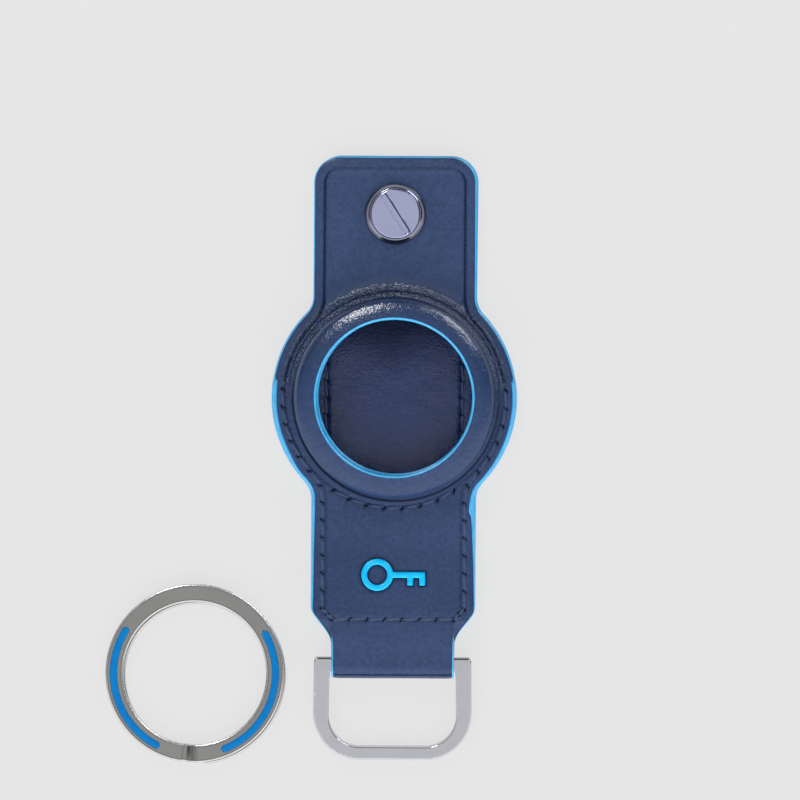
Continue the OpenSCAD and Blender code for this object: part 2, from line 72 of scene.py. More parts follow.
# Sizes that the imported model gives
WASHER_LOW, WASHER_HIGH = box_mm("cup_washer")
SCREW_LOW, SCREW_HIGH = box_mm("flap_screw")
KEY_LOW, KEY_HIGH = box_mm("split_ring")
SIGN_LOW, SIGN_HIGH = box_mm("badge")
WINDOW_PAINT_W = 0.35
BODY_R = box_mm("sewn_edge_paint")[1][0]
TOP_Y = box_mm("flap_edge_paint")[1][1]
WINDOW_R = box_mm("window_edge_upper")[1][0] - WINDOW_PAINT_W
CROWN_Z = box_mm("window_edge_upper")[1][2]
Z_BACK, Z_FLOOR = (side[2] for side in box_mm("back_lining"))
Z_LINING = box_mm("flap_panel")[0][2]
Z_TOP = WASHER_LOW[2]
OUTER_T = Z_TOP - Z_LINING
LINING_T = Z_FLOOR - Z_BACK
SCREW_Y = (WASHER_LOW[1] + WASHER_HIGH[1]) / 2
WASHER_R, _, WASHER_TOP = WASHER_HIGH
HEAD_R, _, HEAD_TOP = SCREW_HIGH
SHANK_END = SCREW_LOW[2]
POST_HEAD_R, _, POST_TOP = box_mm("screw_post")[1]
D_HALF_W = box_mm("d_ring")[1][0]
D_HINGE = joint_mm("d_ring_swing")
KEY_R = (KEY_HIGH[0] - KEY_LOW[0]) / 2
KEY_CENTRE = (KEY_LOW + KEY_HIGH) / 2

# Outline of the leather, as in the part's source
STRAP_HALF_W = 14.95
NECK_R = 4.2
TOP_CORNER_R = 5.0
SHOULDER_Y = 38.8
TONGUE_Y = 43.6
TONGUE_HALF_W = 11.05
FOLD_Y = 3.0
NECK_X = STRAP_HALF_W + NECK_R
NECK_Y = sqrt((BODY_R + NECK_R) ** 2 - NECK_X ** 2)
NECK_A = degrees(atan2(NECK_Y, NECK_X))

# Moulded ring: a hollow foot, a wall, a rounded shoulder and a wide dome up to the window
FOOT_R = 1.0
POCKET_WALL_R = 16.3 + OUTER_T + LINING_T
FOOT_EDGE_R = POCKET_WALL_R + FOOT_R
SHOULDER_R = 2.1
DOME_R = 12.0
DOME_SLOPE_A = 25
SHOULDER_X = POCKET_WALL_R - SHOULDER_R
DOME_X = SHOULDER_X - (DOME_R - SHOULDER_R) * sin(radians(DOME_SLOPE_A))
DOME_Z = CROWN_Z - sqrt(DOME_R ** 2 - (WINDOW_R - DOME_X) ** 2)
SHOULDER_Z = DOME_Z + (DOME_R - SHOULDER_R) * cos(radians(DOME_SLOPE_A))

# Crease and seams
CREASE_INSET = 2.25
CREASE_W = 0.42
CREASE_D = 0.3
SEAM_INSET = 2.1
SEAM_START_Y = 1.4
SEAM_BOTTOM_Y = 40.0
SEAM_CORNER = 1.9
ARC_SEAM_R = FOOT_EDGE_R + 0.85
ARC_SEAM_HALF_A = 33
LINING_SEAM_X = WINDOW_R - 1.6
LINING_SEAM_HALF_L = 9.3
STITCH_PITCH = 3.1
CHANNEL_D = 0.05
HOLE_D = 0.45

# Loop of leather round the D-ring's bar: a squarish section
LOOP_HALF_Z = D_HINGE[2]
LOOP_HALF_Y = 2.75
LOOP_POWER = 3.2
LOOP_START_Y = -42.5
LOOP_HUMP = 0.3
FOLD_LEAN = 0.5
RING_BACK_A = 30
RING_HALF_T = 1.3
RING_CLEAR = 0.12
SHOULDER_FROM_X = 10.6
SHOULDER_TO_X = 11.45
DROP_END_Y = -44.7


def arc(centre, r, a, b, n):
    """Points on an arc from angle a to angle b, in degrees."""
    angles = np.radians(np.linspace(a, b, n + 1))
    return [(centre[0] + r * cos(v), centre[1] + r * sin(v)) for v in angles]


def circle(r, n, centre=(0, 0)):
    return arc(centre, r, 0, 360, n)[:-1]


def mirrored(path):
    return [(-x, y) for x, y in reversed(path)]


def shifted(path, dx, dy):
    return [(x + dx, y + dy) for x, y in path]


def body_side(inset, y, way, n, neck_n):
    """Right side of the body from the height y, and its neck at the upper (1) or lower (-1) strap."""
    r = BODY_R - inset
    return (arc((0, 0), r, degrees(asin(y / r)), way * NECK_A, n)
            + arc((NECK_X, way * NECK_Y), NECK_R + inset, 180 + way * NECK_A, 180, neck_n))


def lower_side():
    """Right side of the body and the lower strap, from the fold down to the tongue."""
    return body_side(0, FOLD_Y, -1, 60, 16) + [(STRAP_HALF_W, -SHOULDER_Y), (TONGUE_HALF_W, -TONGUE_Y)]


def upper_side(inset, y=FOLD_Y):
    """Right side of the body and the upper strap, from the height y to the top edge."""
    corner = (STRAP_HALF_W - TOP_CORNER_R, TOP_Y - TOP_CORNER_R)
    return body_side(inset, y, 1, 48, 16) + arc(corner, TOP_CORNER_R - inset, 0, 90, 16)


def seam_stretches(inset):
    """The seam round the lower half, as stretches that meet where it bends."""
    x = STRAP_HALF_W - inset
    side = body_side(inset, SEAM_START_Y, -1, 48, 12) + [(x, -SEAM_BOTTOM_Y + SEAM_CORNER)]
    corner = [side[-1], (x - SEAM_CORNER, -SEAM_BOTTOM_Y)]
    bottom = [corner[-1], (-corner[-1][0], corner[-1][1])]
    return [side, corner, bottom, mirrored(corner), mirrored(side)]


def arc_seam():
    return arc((0, 0), ARC_SEAM_R, 270 - ARC_SEAM_HALF_A, 270 + ARC_SEAM_HALF_A, 60)


def lining_seam(side):
    x = side * LINING_SEAM_X
    return [(x, -LINING_SEAM_HALF_L), (x, LINING_SEAM_HALF_L)]


def filleted(points, radii, n):
    """A closed outline whose corners are rounded to the radii."""
    out = []
    count = len(points)
    for i, r in enumerate(radii):
        p, before, after = (np.array(points[k % count], float) for k in (i, i - 1, i + 1))
        u = (before - p) / np.linalg.norm(before - p)
        v = (after - p) / np.linalg.norm(after - p)
        half = acos(np.clip(u @ v, -1, 1)) / 2
        centre = p + (u + v) / np.linalg.norm(u + v) * r / sin(half)
        ends = [p + way * r / tan(half) - centre for way in (u, v)]
        a, b = (degrees(atan2(end[1], end[0])) for end in ends)
        out += arc(centre, r, a, a + (b - a + 180) % 360 - 180, n)
    return out


def run_lengths(points):
    steps = np.linalg.norm(np.diff(np.array(points, float), axis=0), axis=1)
    return np.concatenate(([0], np.cumsum(steps)))


def resampled(points, step, closed=False):
    """The same line with points at even distances."""
    line = np.array(list(points) + ([points[0]] if closed else []), float)
    runs = run_lengths(line)
    count = max(2, int(round(runs[-1] / step)))
    wanted = np.linspace(0, runs[-1], count + 1)
    if closed:
        wanted = wanted[:-1]
    return np.stack([np.interp(wanted, runs, line[:, k]) for k in range(line.shape[1])], axis=1)


def distance_to(points, path):
    """Distance from each point to a polyline."""
    line = np.array(path, float)
    a, b = line[:-1], line[1:]
    d = b - a
    length2 = np.maximum((d ** 2).sum(1), 1e-12)
    out = np.empty(len(points))
    for i in range(0, len(points), 4000):
        p = points[i:i + 4000, None, :]
        t = np.clip(((p - a) * d).sum(2) / length2, 0, 1)
        out[i:i + 4000] = np.sqrt((((a + t[..., None] * d) - p) ** 2).sum(2)).min(1)
    return out


def nearest(points, paths):
    """Distance from each point to the nearest of several polylines."""
    return np.minimum.reduce([distance_to(points, path) for path in paths])


def inside(points, loop):
    """Whether each point lies inside a closed outline."""
    a = np.array(loop, float)
    b = np.roll(a, -1, axis=0)
    out = np.zeros(len(points), bool)
    for i in range(0, len(points), 4000):
        x, y = points[i:i + 4000, 0:1], points[i:i + 4000, 1:2]
        crosses = (a[:, 1] > y) != (b[:, 1] > y)
        rise = np.where(b[:, 1] == a[:, 1], 1e-12, b[:, 1] - a[:, 1])
        at = a[:, 0] + (y - a[:, 1]) * (b[:, 0] - a[:, 0]) / rise
        out[i:i + 4000] = ((crosses & (x < at)).sum(1) % 2) == 1
    return out


def bump(d, width):
    """A smooth hill, 1 at distance 0 and nearly 0 at two widths."""
    return np.exp(-(d / width) ** 2)


def hill(size, d):
    """A smooth hill of a (height, width) size at a distance."""
    return size[0] * bump(d, size[1])


def ramp(v, low, high):
    """Smooth step from 0 at low to 1 at high."""
    t = np.clip((v - low) / (high - low), 0, 1)
    return t * t * (3 - 2 * t)


def noise_at(points, scale, seed=0.0):
    """Smooth noise, about -1 to 1, with features of the given size in millimetres."""
    flat = np.array(points, float)
    third = flat[:, 2] if flat.shape[1] > 2 else np.zeros(len(flat))
    return np.array([noise.noise(Vector((x / scale + seed, y / scale, z / scale)))
                     for x, y, z in zip(flat[:, 0], flat[:, 1], third)])


def waves(points, *kinds):
    """A sum of smooth noises, each given by its height, size and seed."""
    return sum(height * noise_at(points, size, seed) for height, size, seed in kinds)


def new_piece(name, verts, faces, attributes=None):
    """A closed mesh piece from millimetres, with its normals outwards."""
    mesh = bpy.data.meshes.new(name)
    mesh.from_pydata((np.array(verts) * MM).tolist(), [], faces)
    for key, values in (attributes or {}).items():
        layer = mesh.attributes.new(key, "FLOAT", "POINT")
        layer.data.foreach_set("value", np.array(values, np.float32))
    work = bmesh.new()
    work.from_mesh(mesh)
    bmesh.ops.recalc_face_normals(work, faces=work.faces)
    for edge in work.edges:
        edge.smooth = edge.calc_face_angle(0.0) < SHARP_A
    work.to_mesh(mesh)
    work.free()
    mesh.polygons.foreach_set("use_smooth", [True] * len(mesh.polygons))
    mesh.update()
    piece = bpy.data.objects.new(name, mesh)
    bpy.context.scene.collection.objects.link(piece)
    return piece


FLAP_BEND = "bend"


def dress(piece, material, body, *nodes):
    """Gives a piece its material and hides the CAD nodes that it stands for. It hangs from its body's
    empty, but a front piece of the bend keeps its place, with its transform baked into its mesh."""
    piece.data.materials.append(material)
    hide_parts(*nodes)
    if body == FLAP_BEND:
        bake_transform(piece)
    else:
        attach(piece, body)


def tangents(line, closed=False):
    """Directions along a line, each one long."""
    if closed:
        along = np.roll(line, -1, axis=0) - np.roll(line, 1, axis=0)
    else:
        along = np.gradient(line, axis=0)
    return along / np.linalg.norm(along, axis=1)[:, None]


def beside(ways):
    """The directions to the right of those in the plan."""
    return np.column_stack([ways[:, 1], -ways[:, 0]])


def hex_points(loop, step):
    low, high = loop.min(0), loop.max(0)
    rows = np.arange(low[1], high[1], step * sqrt(3) / 2)
    return np.array([(x + (k % 2) * step / 2, y)
                     for k, y in enumerate(rows) for x in np.arange(low[0], high[0], step)])


def ribbon(path, offsets, step=0.4):
    """Points on lines beside a path, so that narrow grooves get enough faces."""
    line = resampled(path, step)
    normal = beside(tangents(line))
    return np.concatenate([line + o * normal for o in offsets])


def both_ways(*steps):
    """0 and each step to both sides."""
    return [0] + [sign * step for step in steps for sign in (-1, 1)]


def thinned(points, near, base=()):
    """The base points, and those others that lie no closer than near to them and to each other."""
    cells, kept = {}, list(base)

    def cell(p):
        return int(p[0] // near), int(p[1] // near)

    for p in kept:
        cells.setdefault(cell(p), []).append(p)
    for p in points:
        x, y = cell(p)
        close = (q for i in (-1, 0, 1) for j in (-1, 0, 1) for q in cells.get((x + i, y + j), ()))
        if all((p[0] - q[0]) ** 2 + (p[1] - q[1]) ** 2 > near * near for q in close):
            cells.setdefault((x, y), []).append(p)
            kept.append(p)
    return np.array(kept)


def band_faces(rings):
    """Faces between closed rings of vertex numbers, each ring joined to the next."""
    return [(a[j - 1], b[j - 1], b[j], a[j]) for a, b in zip(rings, rings[1:]) for j in range(len(a))]


def tube_faces(rows, m, closed):
    """Faces of a tube of rows of m vertices, joined up at its ends or capped there."""
    rings = [list(range(i * m, (i + 1) * m)) for i in range(rows)]
    if closed:
        return band_faces(rings + rings[:1])
    return band_faces(rings) + [rings[0][::-1], rings[-1]]


def sheet_mesh(name, outline, wall, holes, top, bottom, step, dense=(), warp=None, marks=None):
    """A closed sheet of material: top and bottom are heights over the plan, and a wall is a list of
    (inset, share, rise) from the top face to the bottom one: share 1 is the top's height, share 0
    the bottom's, and None makes rise a height of its own."""
    loops = [(resampled(outline, step, True), wall, 1)]
    loops += [(np.array(loop, float), hole_wall, -1) for loop, hole_wall in holes]
    normals = [sign * beside(tangents(loop, True)) for loop, _, sign in loops]
    rims = [loop - loop_wall[0][0] * normal for (loop, loop_wall, _), normal in zip(loops, normals)]

    def within(points):
        return inside(points, rims[0]) & ~np.any([inside(points, rim) for rim in rims[1:]], axis=0)

    points = thinned(hex_points(rims[0], step), step * 0.6, dense)
    points = points[within(points)]
    for rim in rims:
        points = points[distance_to(points, np.vstack([rim, rim[:1]])) > step * 0.4]
    plan = np.concatenate(rims + [points])
    starts = np.cumsum([0] + [len(rim) for rim in rims]).tolist()
    edges = [(first + i, first + (i + 1) % len(rim))
             for first, rim in zip(starts, rims) for i in range(len(rim))]
    found, _, triangles, origin, _, _ = delaunay_2d_cdt([Vector(p) for p in plan], edges, [], 0, 1e-7)
    place = {old: new for new, olds in enumerate(origin) for old in olds}
    found = np.array([tuple(p) for p in found])
    keep = within(found[np.array(triangles)].mean(1))
    triangles = [t for t, k in zip(triangles, keep) if k]
    used = sorted({v for t in triangles for v in t})
    number = {old: new for new, old in enumerate(used)}
    found = found[used]
    count = len(found)
    triangles = [tuple(number[v] for v in t) for t in triangles]
    verts = [np.column_stack([found, level(found)]) for level in (top, bottom)]
    faces = triangles + [tuple(v + count for v in reversed(t)) for t in triangles]
    total = 2 * count
    for (loop, loop_wall, _), normal, first in zip(loops, normals, starts):
        size = len(loop)
        rings = [[number[place[first + i]] for i in range(size)]]
        for inset, share, rise in loop_wall[1:-1]:
            around = loop - inset * normal
            level = np.full(size, float(rise))
            if share is not None:
                level += share * top(around) + (1 - share) * bottom(around)
            verts.append(np.column_stack([around, level]))
            rings.append(list(range(total, total + size)))
            total += size
        faces += band_faces(rings + [[v + count for v in rings[0]]])
    co = np.concatenate(verts)
    attributes = {key: f(co) for key, f in (marks or {}).items()}
    return new_piece(name, warp(co) if warp else co, faces, attributes)


def swept(line, section, closed=False):
    """Vertices and faces of a section carried along a line. A section is (out, up) pairs, or one
    such list for each point of the line. Out is to the right of the way the line runs."""
    line = np.array(line, float)
    section = np.array(section, float)
    tangent = tangents(line, closed)
    out = np.cross(tangent, (0, 0, 1))
    out /= np.linalg.norm(out, axis=1)[:, None]
    up = np.cross(out, tangent)
    across = section[..., 0:1] * out[:, None] + section[..., 1:2] * up[:, None]
    return (line[:, None] + across).reshape(-1, 3), tube_faces(len(line), section.shape[-2], closed)


def joined(parts):
    """Several (verts, faces) as one."""
    verts, faces, first = [], [], 0
    for part_verts, part_faces in parts:
        verts.append(np.array(part_verts))
        faces += [tuple(v + first for v in face) for face in part_faces]
        first += len(part_verts)
    return np.concatenate(verts), faces


def turned(profile, n=128):
    """Vertices and faces of a closed profile of (radius, height) pairs turned round the screw's axis."""
    angles = np.radians(np.arange(n) * 360 / n)
    verts = [(r * cos(a), SCREW_Y + r * sin(a), z) for a in angles for r, z in profile]
    return verts, tube_faces(n, len(profile), True)


def at_height(path, z=0.0):
    return [(x, y, z) for x, y in path]


def ring_curve(depth, edge_r):
    """Section of the moulded ring at a depth below its outer surface: (radius, height) from foot to edge."""
    join_a = 90 - DOME_SLOPE_A
    end_a = 90 - degrees(asin((edge_r - DOME_X) / (DOME_R - depth)))
    return (
        arc((FOOT_EDGE_R, Z_TOP + FOOT_R), FOOT_R + depth, 270, 180, 10)
        + arc((SHOULDER_X, SHOULDER_Z), SHOULDER_R - depth, 0, join_a, 16)[:-1]
        + arc((DOME_X, DOME_Z), DOME_R - depth, join_a, end_a, 14)
    )


def ring_wall(depth, t, edge_r):
    """The moulded ring as the wall of the sheet's round opening, over its crown and back below."""
    points = ring_curve(depth, edge_r) + list(reversed(ring_curve(depth + t, edge_r)))
    wall = [(r - FOOT_EDGE_R, None, z) for r, z in points]
    wall[0], wall[-1] = (0, 1, 0), (0, 0, 0)
    return wall


# Stitch holes and stitches
THREAD_W = 0.46
THREAD_H = 0.26
THREAD_LOBE = 0.1
THREAD_TWIST = 5.5
THREAD_DIP = 0.6
THREAD_SWAY = 0.1
HOLE_SLANT_A = 40
HOLE_HALF_L = 0.45
HOLE_HALF_W = 0.23
HOLE_NEAR = 1.2
HOLE_RINGS = [(0, 1), (0.16, 6), (0.34, 9), (0.55, 12)]


def hole_places(stretches):
    """Stitch holes along each stretch, as lists of points."""
    out = []
    for path in stretches:
        total = run_lengths(path)[-1]
        out.append(resampled(path, total / max(1, round(total / STITCH_PITCH))))
    return out


FRONT_SEAMS = hole_places(seam_stretches(SEAM_INSET) + [arc_seam()])
LINING_SEAMS = hole_places([lining_seam(-1), lining_seam(1)])


def hole_depth(points, seams):
    """How deep each point lies in the slanted stitch holes, from 0 to 1."""
    depth = np.zeros(len(points))
    for row in seams:
        for centre, along in zip(row, np.gradient(row, axis=0)):
            near = np.abs(points - centre).max(1) < HOLE_NEAR
            if not near.any():
                continue
            a = atan2(along[1], along[0]) + radians(HOLE_SLANT_A)
            d = points[near] - centre
            u = d[:, 0] * cos(a) + d[:, 1] * sin(a)
            v = -d[:, 0] * sin(a) + d[:, 1] * cos(a)
            hole = np.exp(-(u / HOLE_HALF_L) ** 2 - (v / HOLE_HALF_W) ** 4)
            depth[near] = np.maximum(depth[near], hole)
    return depth


def hole_points(seams):
    """Extra points round each stitch hole."""
    return np.array([p for row in seams for centre in row
                     for r, n in HOLE_RINGS for p in circle(r, n, centre)])


def thread_mesh(name, seams, level, up, warp=None):
    """Twisted thread from hole to hole, lying on a level face that looks up (1) or down (-1)."""
    samples = np.linspace(0, 1, 19)[:, None]
    angles = np.linspace(0, 2 * pi, 13)[:-1]
    lobes = 1 + THREAD_LOBE * np.cos(3 * (angles - THREAD_TWIST * samples))
    sections = lobes[..., None] * np.column_stack([THREAD_W * np.cos(angles), THREAD_H * np.sin(angles)]) / 2
    heights = level + up * (-0.03 - THREAD_DIP * np.abs(2 * samples - 1) ** 5)
    sway = THREAD_SWAY * np.cos(pi * samples)
    parts = []
    for row in seams:
        for a, b in zip(row[:-1], row[1:]):
            across = np.array((b[1] - a[1], a[0] - b[0])) / np.linalg.norm(b - a)
            parts.append(swept(np.hstack([a + samples * (b - a) + sway * across, heights]), sections))
    verts, faces = joined(parts)
    return new_piece(name, warp(verts) if warp else verts, faces)


# The front leather rises over the lower strap to the height of the leather loop
LIFT_START_Y = -25.0
LIFT_END_Y = -42.5
LOOP_TOP_Z = D_HINGE[2] + LOOP_HALF_Z - 0.1
LIFT_H = LOOP_TOP_Z - Z_TOP + LOOP_HUMP
LIFT_SOFT_SHARE = 0.2


def lift(y):
    """How far the front leather has risen at a height y, with a soft start and end."""
    t = np.clip((LIFT_START_Y - np.asarray(y, float)) / (LIFT_START_Y - LIFT_END_Y), 0, 1)
    soft = LIFT_SOFT_SHARE
    rise = np.where(t < soft, t * t / (2 * soft), t - soft / 2)
    rise = np.where(t > 1 - soft, 1 - soft - (1 - t) ** 2 / (2 * soft), rise)
    return LIFT_H * rise / (1 - soft)


def shoulder_drop(x, y):
    """How much lower the shoulders stay beside the tongue, clear of the D-ring when it is folded
    back over the strap."""
    slope = tan(radians(RING_BACK_A))
    room = D_HINGE[2] + (y - D_HINGE[1]) * slope - RING_HALF_T / cos(radians(RING_BACK_A))
    room = np.maximum(room - RING_CLEAR - Z_TOP, 0.1)
    side = ramp(np.abs(x), SHOULDER_FROM_X, SHOULDER_TO_X) * ramp(y, DROP_END_Y, -TONGUE_Y + 0.1)
    return side * np.maximum(lift(y) - room, 0)


def lifted(co):
    """Raises the layers above the lining's height with the strap."""
    share = np.clip((co[:, 2] - Z_FLOOR) / (Z_LINING - Z_FLOOR), 0, 1)
    out = np.array(co, float)
    out[:, 2] += share * (lift(co[:, 1]) - shoulder_drop(co[:, 0], co[:, 1]))
    return out


def squared(v):
    """A cosine or sine drawn out towards a square section."""
    return copysign(abs(v) ** (2 / LOOP_POWER), v)


def loop_curve():
    """The leather loop's outer surface, as (y, z) along its length."""
    y, z = D_HINGE[1:]
    points = [(start, Z_TOP + float(lift(start)) - LOOP_HUMP * float(ramp(-start, -LOOP_START_Y, -y)))
              for start in np.linspace(LOOP_START_Y, y, 30)]
    for t in np.radians(np.linspace(90, 270, 80)[1:]):
        c, v = cos(t), sin(t)
        lean = FOLD_LEAN * max(squared(v), 0) * float(ramp(-c, 0, 0.6))
        points.append((y + LOOP_HALF_Y * squared(c) + lean, z + (LOOP_TOP_Z - z) * squared(v)))
    return np.array(points + [(-TONGUE_Y, 0.0)])


LOOP = resampled(loop_curve(), 0.2)
LOOP_RUNS = run_lengths(LOOP)
LOOP_L = LOOP_RUNS[-1]
FOLD_DROP = 0.6
past_fold = (LOOP[:, 0] < D_HINGE[1] - 1) & (LOOP[:, 1] < LOOP_TOP_Z - FOLD_DROP)
FOLD_LINE_Y = LOOP_START_Y - LOOP_RUNS[np.argmax(past_fold)]


def loop_frame(s):
    """Point and outward direction of the loop at a length along it."""
    point, way = (np.column_stack([np.interp(s, LOOP_RUNS, values[:, k]) for k in (0, 1)])
                  for values in (LOOP, tangents(LOOP)))
    return point, beside(way / np.linalg.norm(way, axis=1)[:, None])


def bend_round_bar(co):
    """Takes a flat strip below the loop's start round the D-ring's bar."""
    out = lifted(co)
    below = co[:, 1] < LOOP_START_Y
    point, normal = loop_frame(LOOP_START_Y - co[below, 1])
    out[below, 1:3] = point + normal * (co[below, 2] - Z_TOP)[:, None]
    out[below, 2] -= shoulder_drop(co[below, 0], co[below, 1])
    return out


# Materials
def tree_of(material):
    material.use_nodes = True
    tree = material.node_tree
    tree.nodes.clear()
    return tree


def add_node(tree, kind, settings=None, **inputs):
    """A node with its settings and inputs. An input is called by its name or by i and its number,
    and it is a value or another node's output."""
    item = tree.nodes.new(kind)
    for key, value in (settings or {}).items():
        setattr(item, key, value)
    for key, value in inputs.items():
        socket = item.inputs[int(key[1:]) if key[1:].isdigit() else key.replace("_", " ")]
        if isinstance(value, bpy.types.NodeSocket):
            tree.links.new(value, socket)
        else:
            socket.default_value = value
    return item


def finished(tree, shader, kind="ShaderNodeOutputMaterial"):
    output = tree.nodes.new(kind)
    tree.links.new(shader, output.inputs["Surface"])


def texture_place(tree, stretch=(1, 1, 1)):
    place = add_node(tree, "ShaderNodeTexCoord").outputs["Object"]
    return add_node(tree, "ShaderNodeMapping", Vector=place, Scale=stretch).outputs["Vector"]


def noise_out(tree, place, scale, detail=4.0, roughness=0.5):
    return add_node(tree, "ShaderNodeTexNoise", Vector=place, Scale=scale, Detail=detail,
                    Roughness=roughness).outputs["Fac"]


def ramp_out(tree, value, low, high, dark=0.0, light=1.0):
    item = add_node(tree, "ShaderNodeMapRange", {"interpolation_type": "SMOOTHSTEP"}, Value=value, i1=low,
                    i2=high, i3=dark, i4=light)
    return item.outputs["Result"]


def mix_out(tree, factor, a, b, blend="MIX"):
    return add_node(tree, "ShaderNodeMix", {"data_type": "RGBA", "blend_type": blend}, i0=factor, i6=a,
                    i7=b).outputs[2]


def times(tree, a, b):
    return maths(tree, "MULTIPLY", a, b)


def maths(tree, operation, a, b=0.0):
    return add_node(tree, "ShaderNodeMath", {"operation": operation}, i0=a, i1=b).outputs[0]


def attribute_out(tree, name):
    return add_node(tree, "ShaderNodeAttribute", {"attribute_name": name}).outputs["Fac"]


def bumped(tree, height, strength, distance, normal=None):
    extra = {"Normal": normal} if normal is not None else {}
    return add_node(tree, "ShaderNodeBump", Height=height, Strength=strength, Distance=distance,
                    **extra).outputs["Normal"]


def rgb(r, g, b):
    return (r, g, b, 1.0)


def new_material(name):
    """An empty material with its node tree and the place that its textures follow."""
    material = bpy.data.materials.new(name)
    tree = tree_of(material)
    return material, tree, texture_place(tree)


def clouded(tree, place, scale, base, light):
    """A colour between two, in soft clouds."""
    return mix_out(tree, ramp_out(tree, noise_out(tree, place, scale, 3), 0.3, 0.7), base, light)


def principled(tree, **inputs):
    """A principled shader as the surface."""
    finished(tree, add_node(tree, "ShaderNodeBsdfPrincipled", **inputs).outputs[0])


def leather_material(name, base, light, dark, grain, coat, gloss, polished=None):
    """Glazed leather: fine pebbled grain under a coat, darkened by painted shade in creases and holes.
    Where the attribute shine is 1 it has the coat, gloss and colour of polished."""
    material, tree, place = new_material(name)
    shine, painted_shade, wrinkle = (attribute_out(tree, key) for key in ("shine", "painted_shade", "wrinkle"))
    shiny_coat, shiny_gloss, shiny_base = polished or (coat, gloss, base)
    colour = mix_out(tree, shine, clouded(tree, place, 90, base, light), shiny_base)
    speck = ramp_out(tree, noise_out(tree, place, 1500, 2), 0.25, 0.75, 0.85, 1.12)
    specks = add_node(tree, "ShaderNodeCombineColor", i0=speck, i1=speck, i2=speck).outputs[0]
    colour = mix_out(tree, painted_shade, mix_out(tree, 1.0, colour, specks, "MULTIPLY"), dark)
    cells = add_node(tree, "ShaderNodeTexVoronoi", {"feature": "SMOOTH_F1"}, Vector=place, Scale=3600,
                     Smoothness=0.5).outputs["Distance"]
    normal = bumped(tree, cells, grain, 0.00007)
    for scale, strength, distance in ((1100, grain, 0.00016), (260, grain * 0.8, 0.0003)):
        normal = bumped(tree, noise_out(tree, place, scale, 4, 0.6), strength, distance, normal)
    for scale, detail, roughness, distance in ((420, 6, 0.75, 0.00035), (2600, 2, 0.6, 0.0006)):
        creased = times(tree, noise_out(tree, place, scale, detail, roughness), wrinkle)
        normal = bumped(tree, creased, 1.0, distance, normal)
    shown = maths(tree, "SUBTRACT", 1.0, painted_shade)
    principled(tree, Base_Color=colour, Normal=normal, Coat_Normal=normal, Coat_Roughness=0.13,
               Roughness=ramp_out(tree, noise_out(tree, place, 300, 4), 0.2, 0.8, 0.34, 0.5),
               Coat_Weight=times(tree, shown, ramp_out(tree, shine, 0.0, 1.0, coat, shiny_coat)),
               Specular_IOR_Level=times(tree, shown, ramp_out(tree, shine, 0.0, 1.0, gloss, shiny_gloss)))
    return material


def paint_material(name, base, light, roughness, coat, gloss):
    """Edge paint or enamel: even colour with a slightly uneven, shiny skin."""
    material, tree, place = new_material(name)
    rough = ramp_out(tree, noise_out(tree, place, 1400, 2), 0.2, 0.8, roughness * 0.85, roughness * 1.15)
    principled(tree, Base_Color=clouded(tree, place, 500, base, light), Roughness=rough,
               Normal=bumped(tree, noise_out(tree, place, 900, 3), 0.25, 0.0001),
               Coat_Weight=coat, Coat_Roughness=0.12, Specular_IOR_Level=gloss)
    return material


# Colour of the painted shade on the metal pieces
PAINTED_SHADE_COLOUR = rgb(0.012, 0.012, 0.02)


def metal_material(name, base, light, roughness, grain=(1, 1, 1), scratch=0.08, rim=None):
    """Metal with fine drawn scratches, darkened to a painted shade where its shade attribute is 1, and
    where edge is 1 as light as the rim colour."""
    material, tree, place = new_material(name)
    lined = texture_place(tree, grain)
    colour = clouded(tree, place, 260, base, light)
    if rim:
        colour = mix_out(tree, attribute_out(tree, "edge"), colour, rim)
    rough = ramp_out(tree, noise_out(tree, lined, 2600, 4), 0.2, 0.8, roughness * 0.8, roughness * 1.25)
    colour = mix_out(tree, attribute_out(tree, "painted_shade"), colour, PAINTED_SHADE_COLOUR)
    principled(tree, Base_Color=colour, Roughness=rough,
               Normal=bumped(tree, noise_out(tree, lined, 3200, 3), scratch, 0.00006), Metallic=1.0)
    return material


def thread_material(name, base, light):
    """Waxed thread: fine fibres along a twisted cord."""
    material, tree, place = new_material(name)
    fibres = noise_out(tree, place, 5200, 3, 0.7)
    principled(tree, Base_Color=mix_out(tree, ramp_out(tree, fibres, 0.35, 0.7), base, light),
               Roughness=ramp_out(tree, fibres, 0.3, 0.7, 0.55, 0.7),
               Normal=bumped(tree, fibres, 0.5, 0.00008), Sheen_Weight=0.15)
    return material


# Plain colour: the navy with a painted sheen, a grey lift where the coat is thinner than when polished
OUTER_LEATHER = leather_material("outer_leather", rgb(0.028, 0.051, 0.123), rgb(0.032, 0.056, 0.134),
                                 rgb(0.002, 0.004, 0.012), 0.38, 0.25, 0.06,
                                 (1.0, 0.2, rgb(0.010, 0.033, 0.106)))
LINING_LEATHER = leather_material("lining_leather", rgb(0.008, 0.022, 0.092), rgb(0.012, 0.028, 0.110),
                                  rgb(0.002, 0.003, 0.010), 0.65, 0.95, 0.06)
THREAD = thread_material("thread", rgb(0.022, 0.046, 0.120), rgb(0.032, 0.062, 0.155))
EDGE_PAINT = paint_material("edge_paint", rgb(0.03, 0.35, 0.70), rgb(0.06, 0.42, 0.78), 0.38, 0.3, 0.45)
BADGE_ENAMEL = paint_material("badge_enamel", rgb(0.0, 0.46, 0.88), rgb(0.0, 0.52, 0.95), 0.25, 0.2, 0.3)
RING_ENAMEL = paint_material("ring_enamel", rgb(0.0, 0.15, 0.44), rgb(0.0, 0.175, 0.49), 0.24, 0.05, 0.1)
POLISHED_STEEL = metal_material("polished_steel", rgb(0.54, 0.545, 0.58), rgb(0.57, 0.575, 0.61), 0.12)
DARK_STEEL = metal_material("dark_steel", rgb(0.23, 0.24, 0.32), rgb(0.26, 0.27, 0.35), 0.14)
SCREW_STEEL = metal_material("screw_steel", rgb(0.41, 0.44, 0.65), rgb(0.44, 0.47, 0.68), 0.2,
                             (1, 12, 1), 0.12)
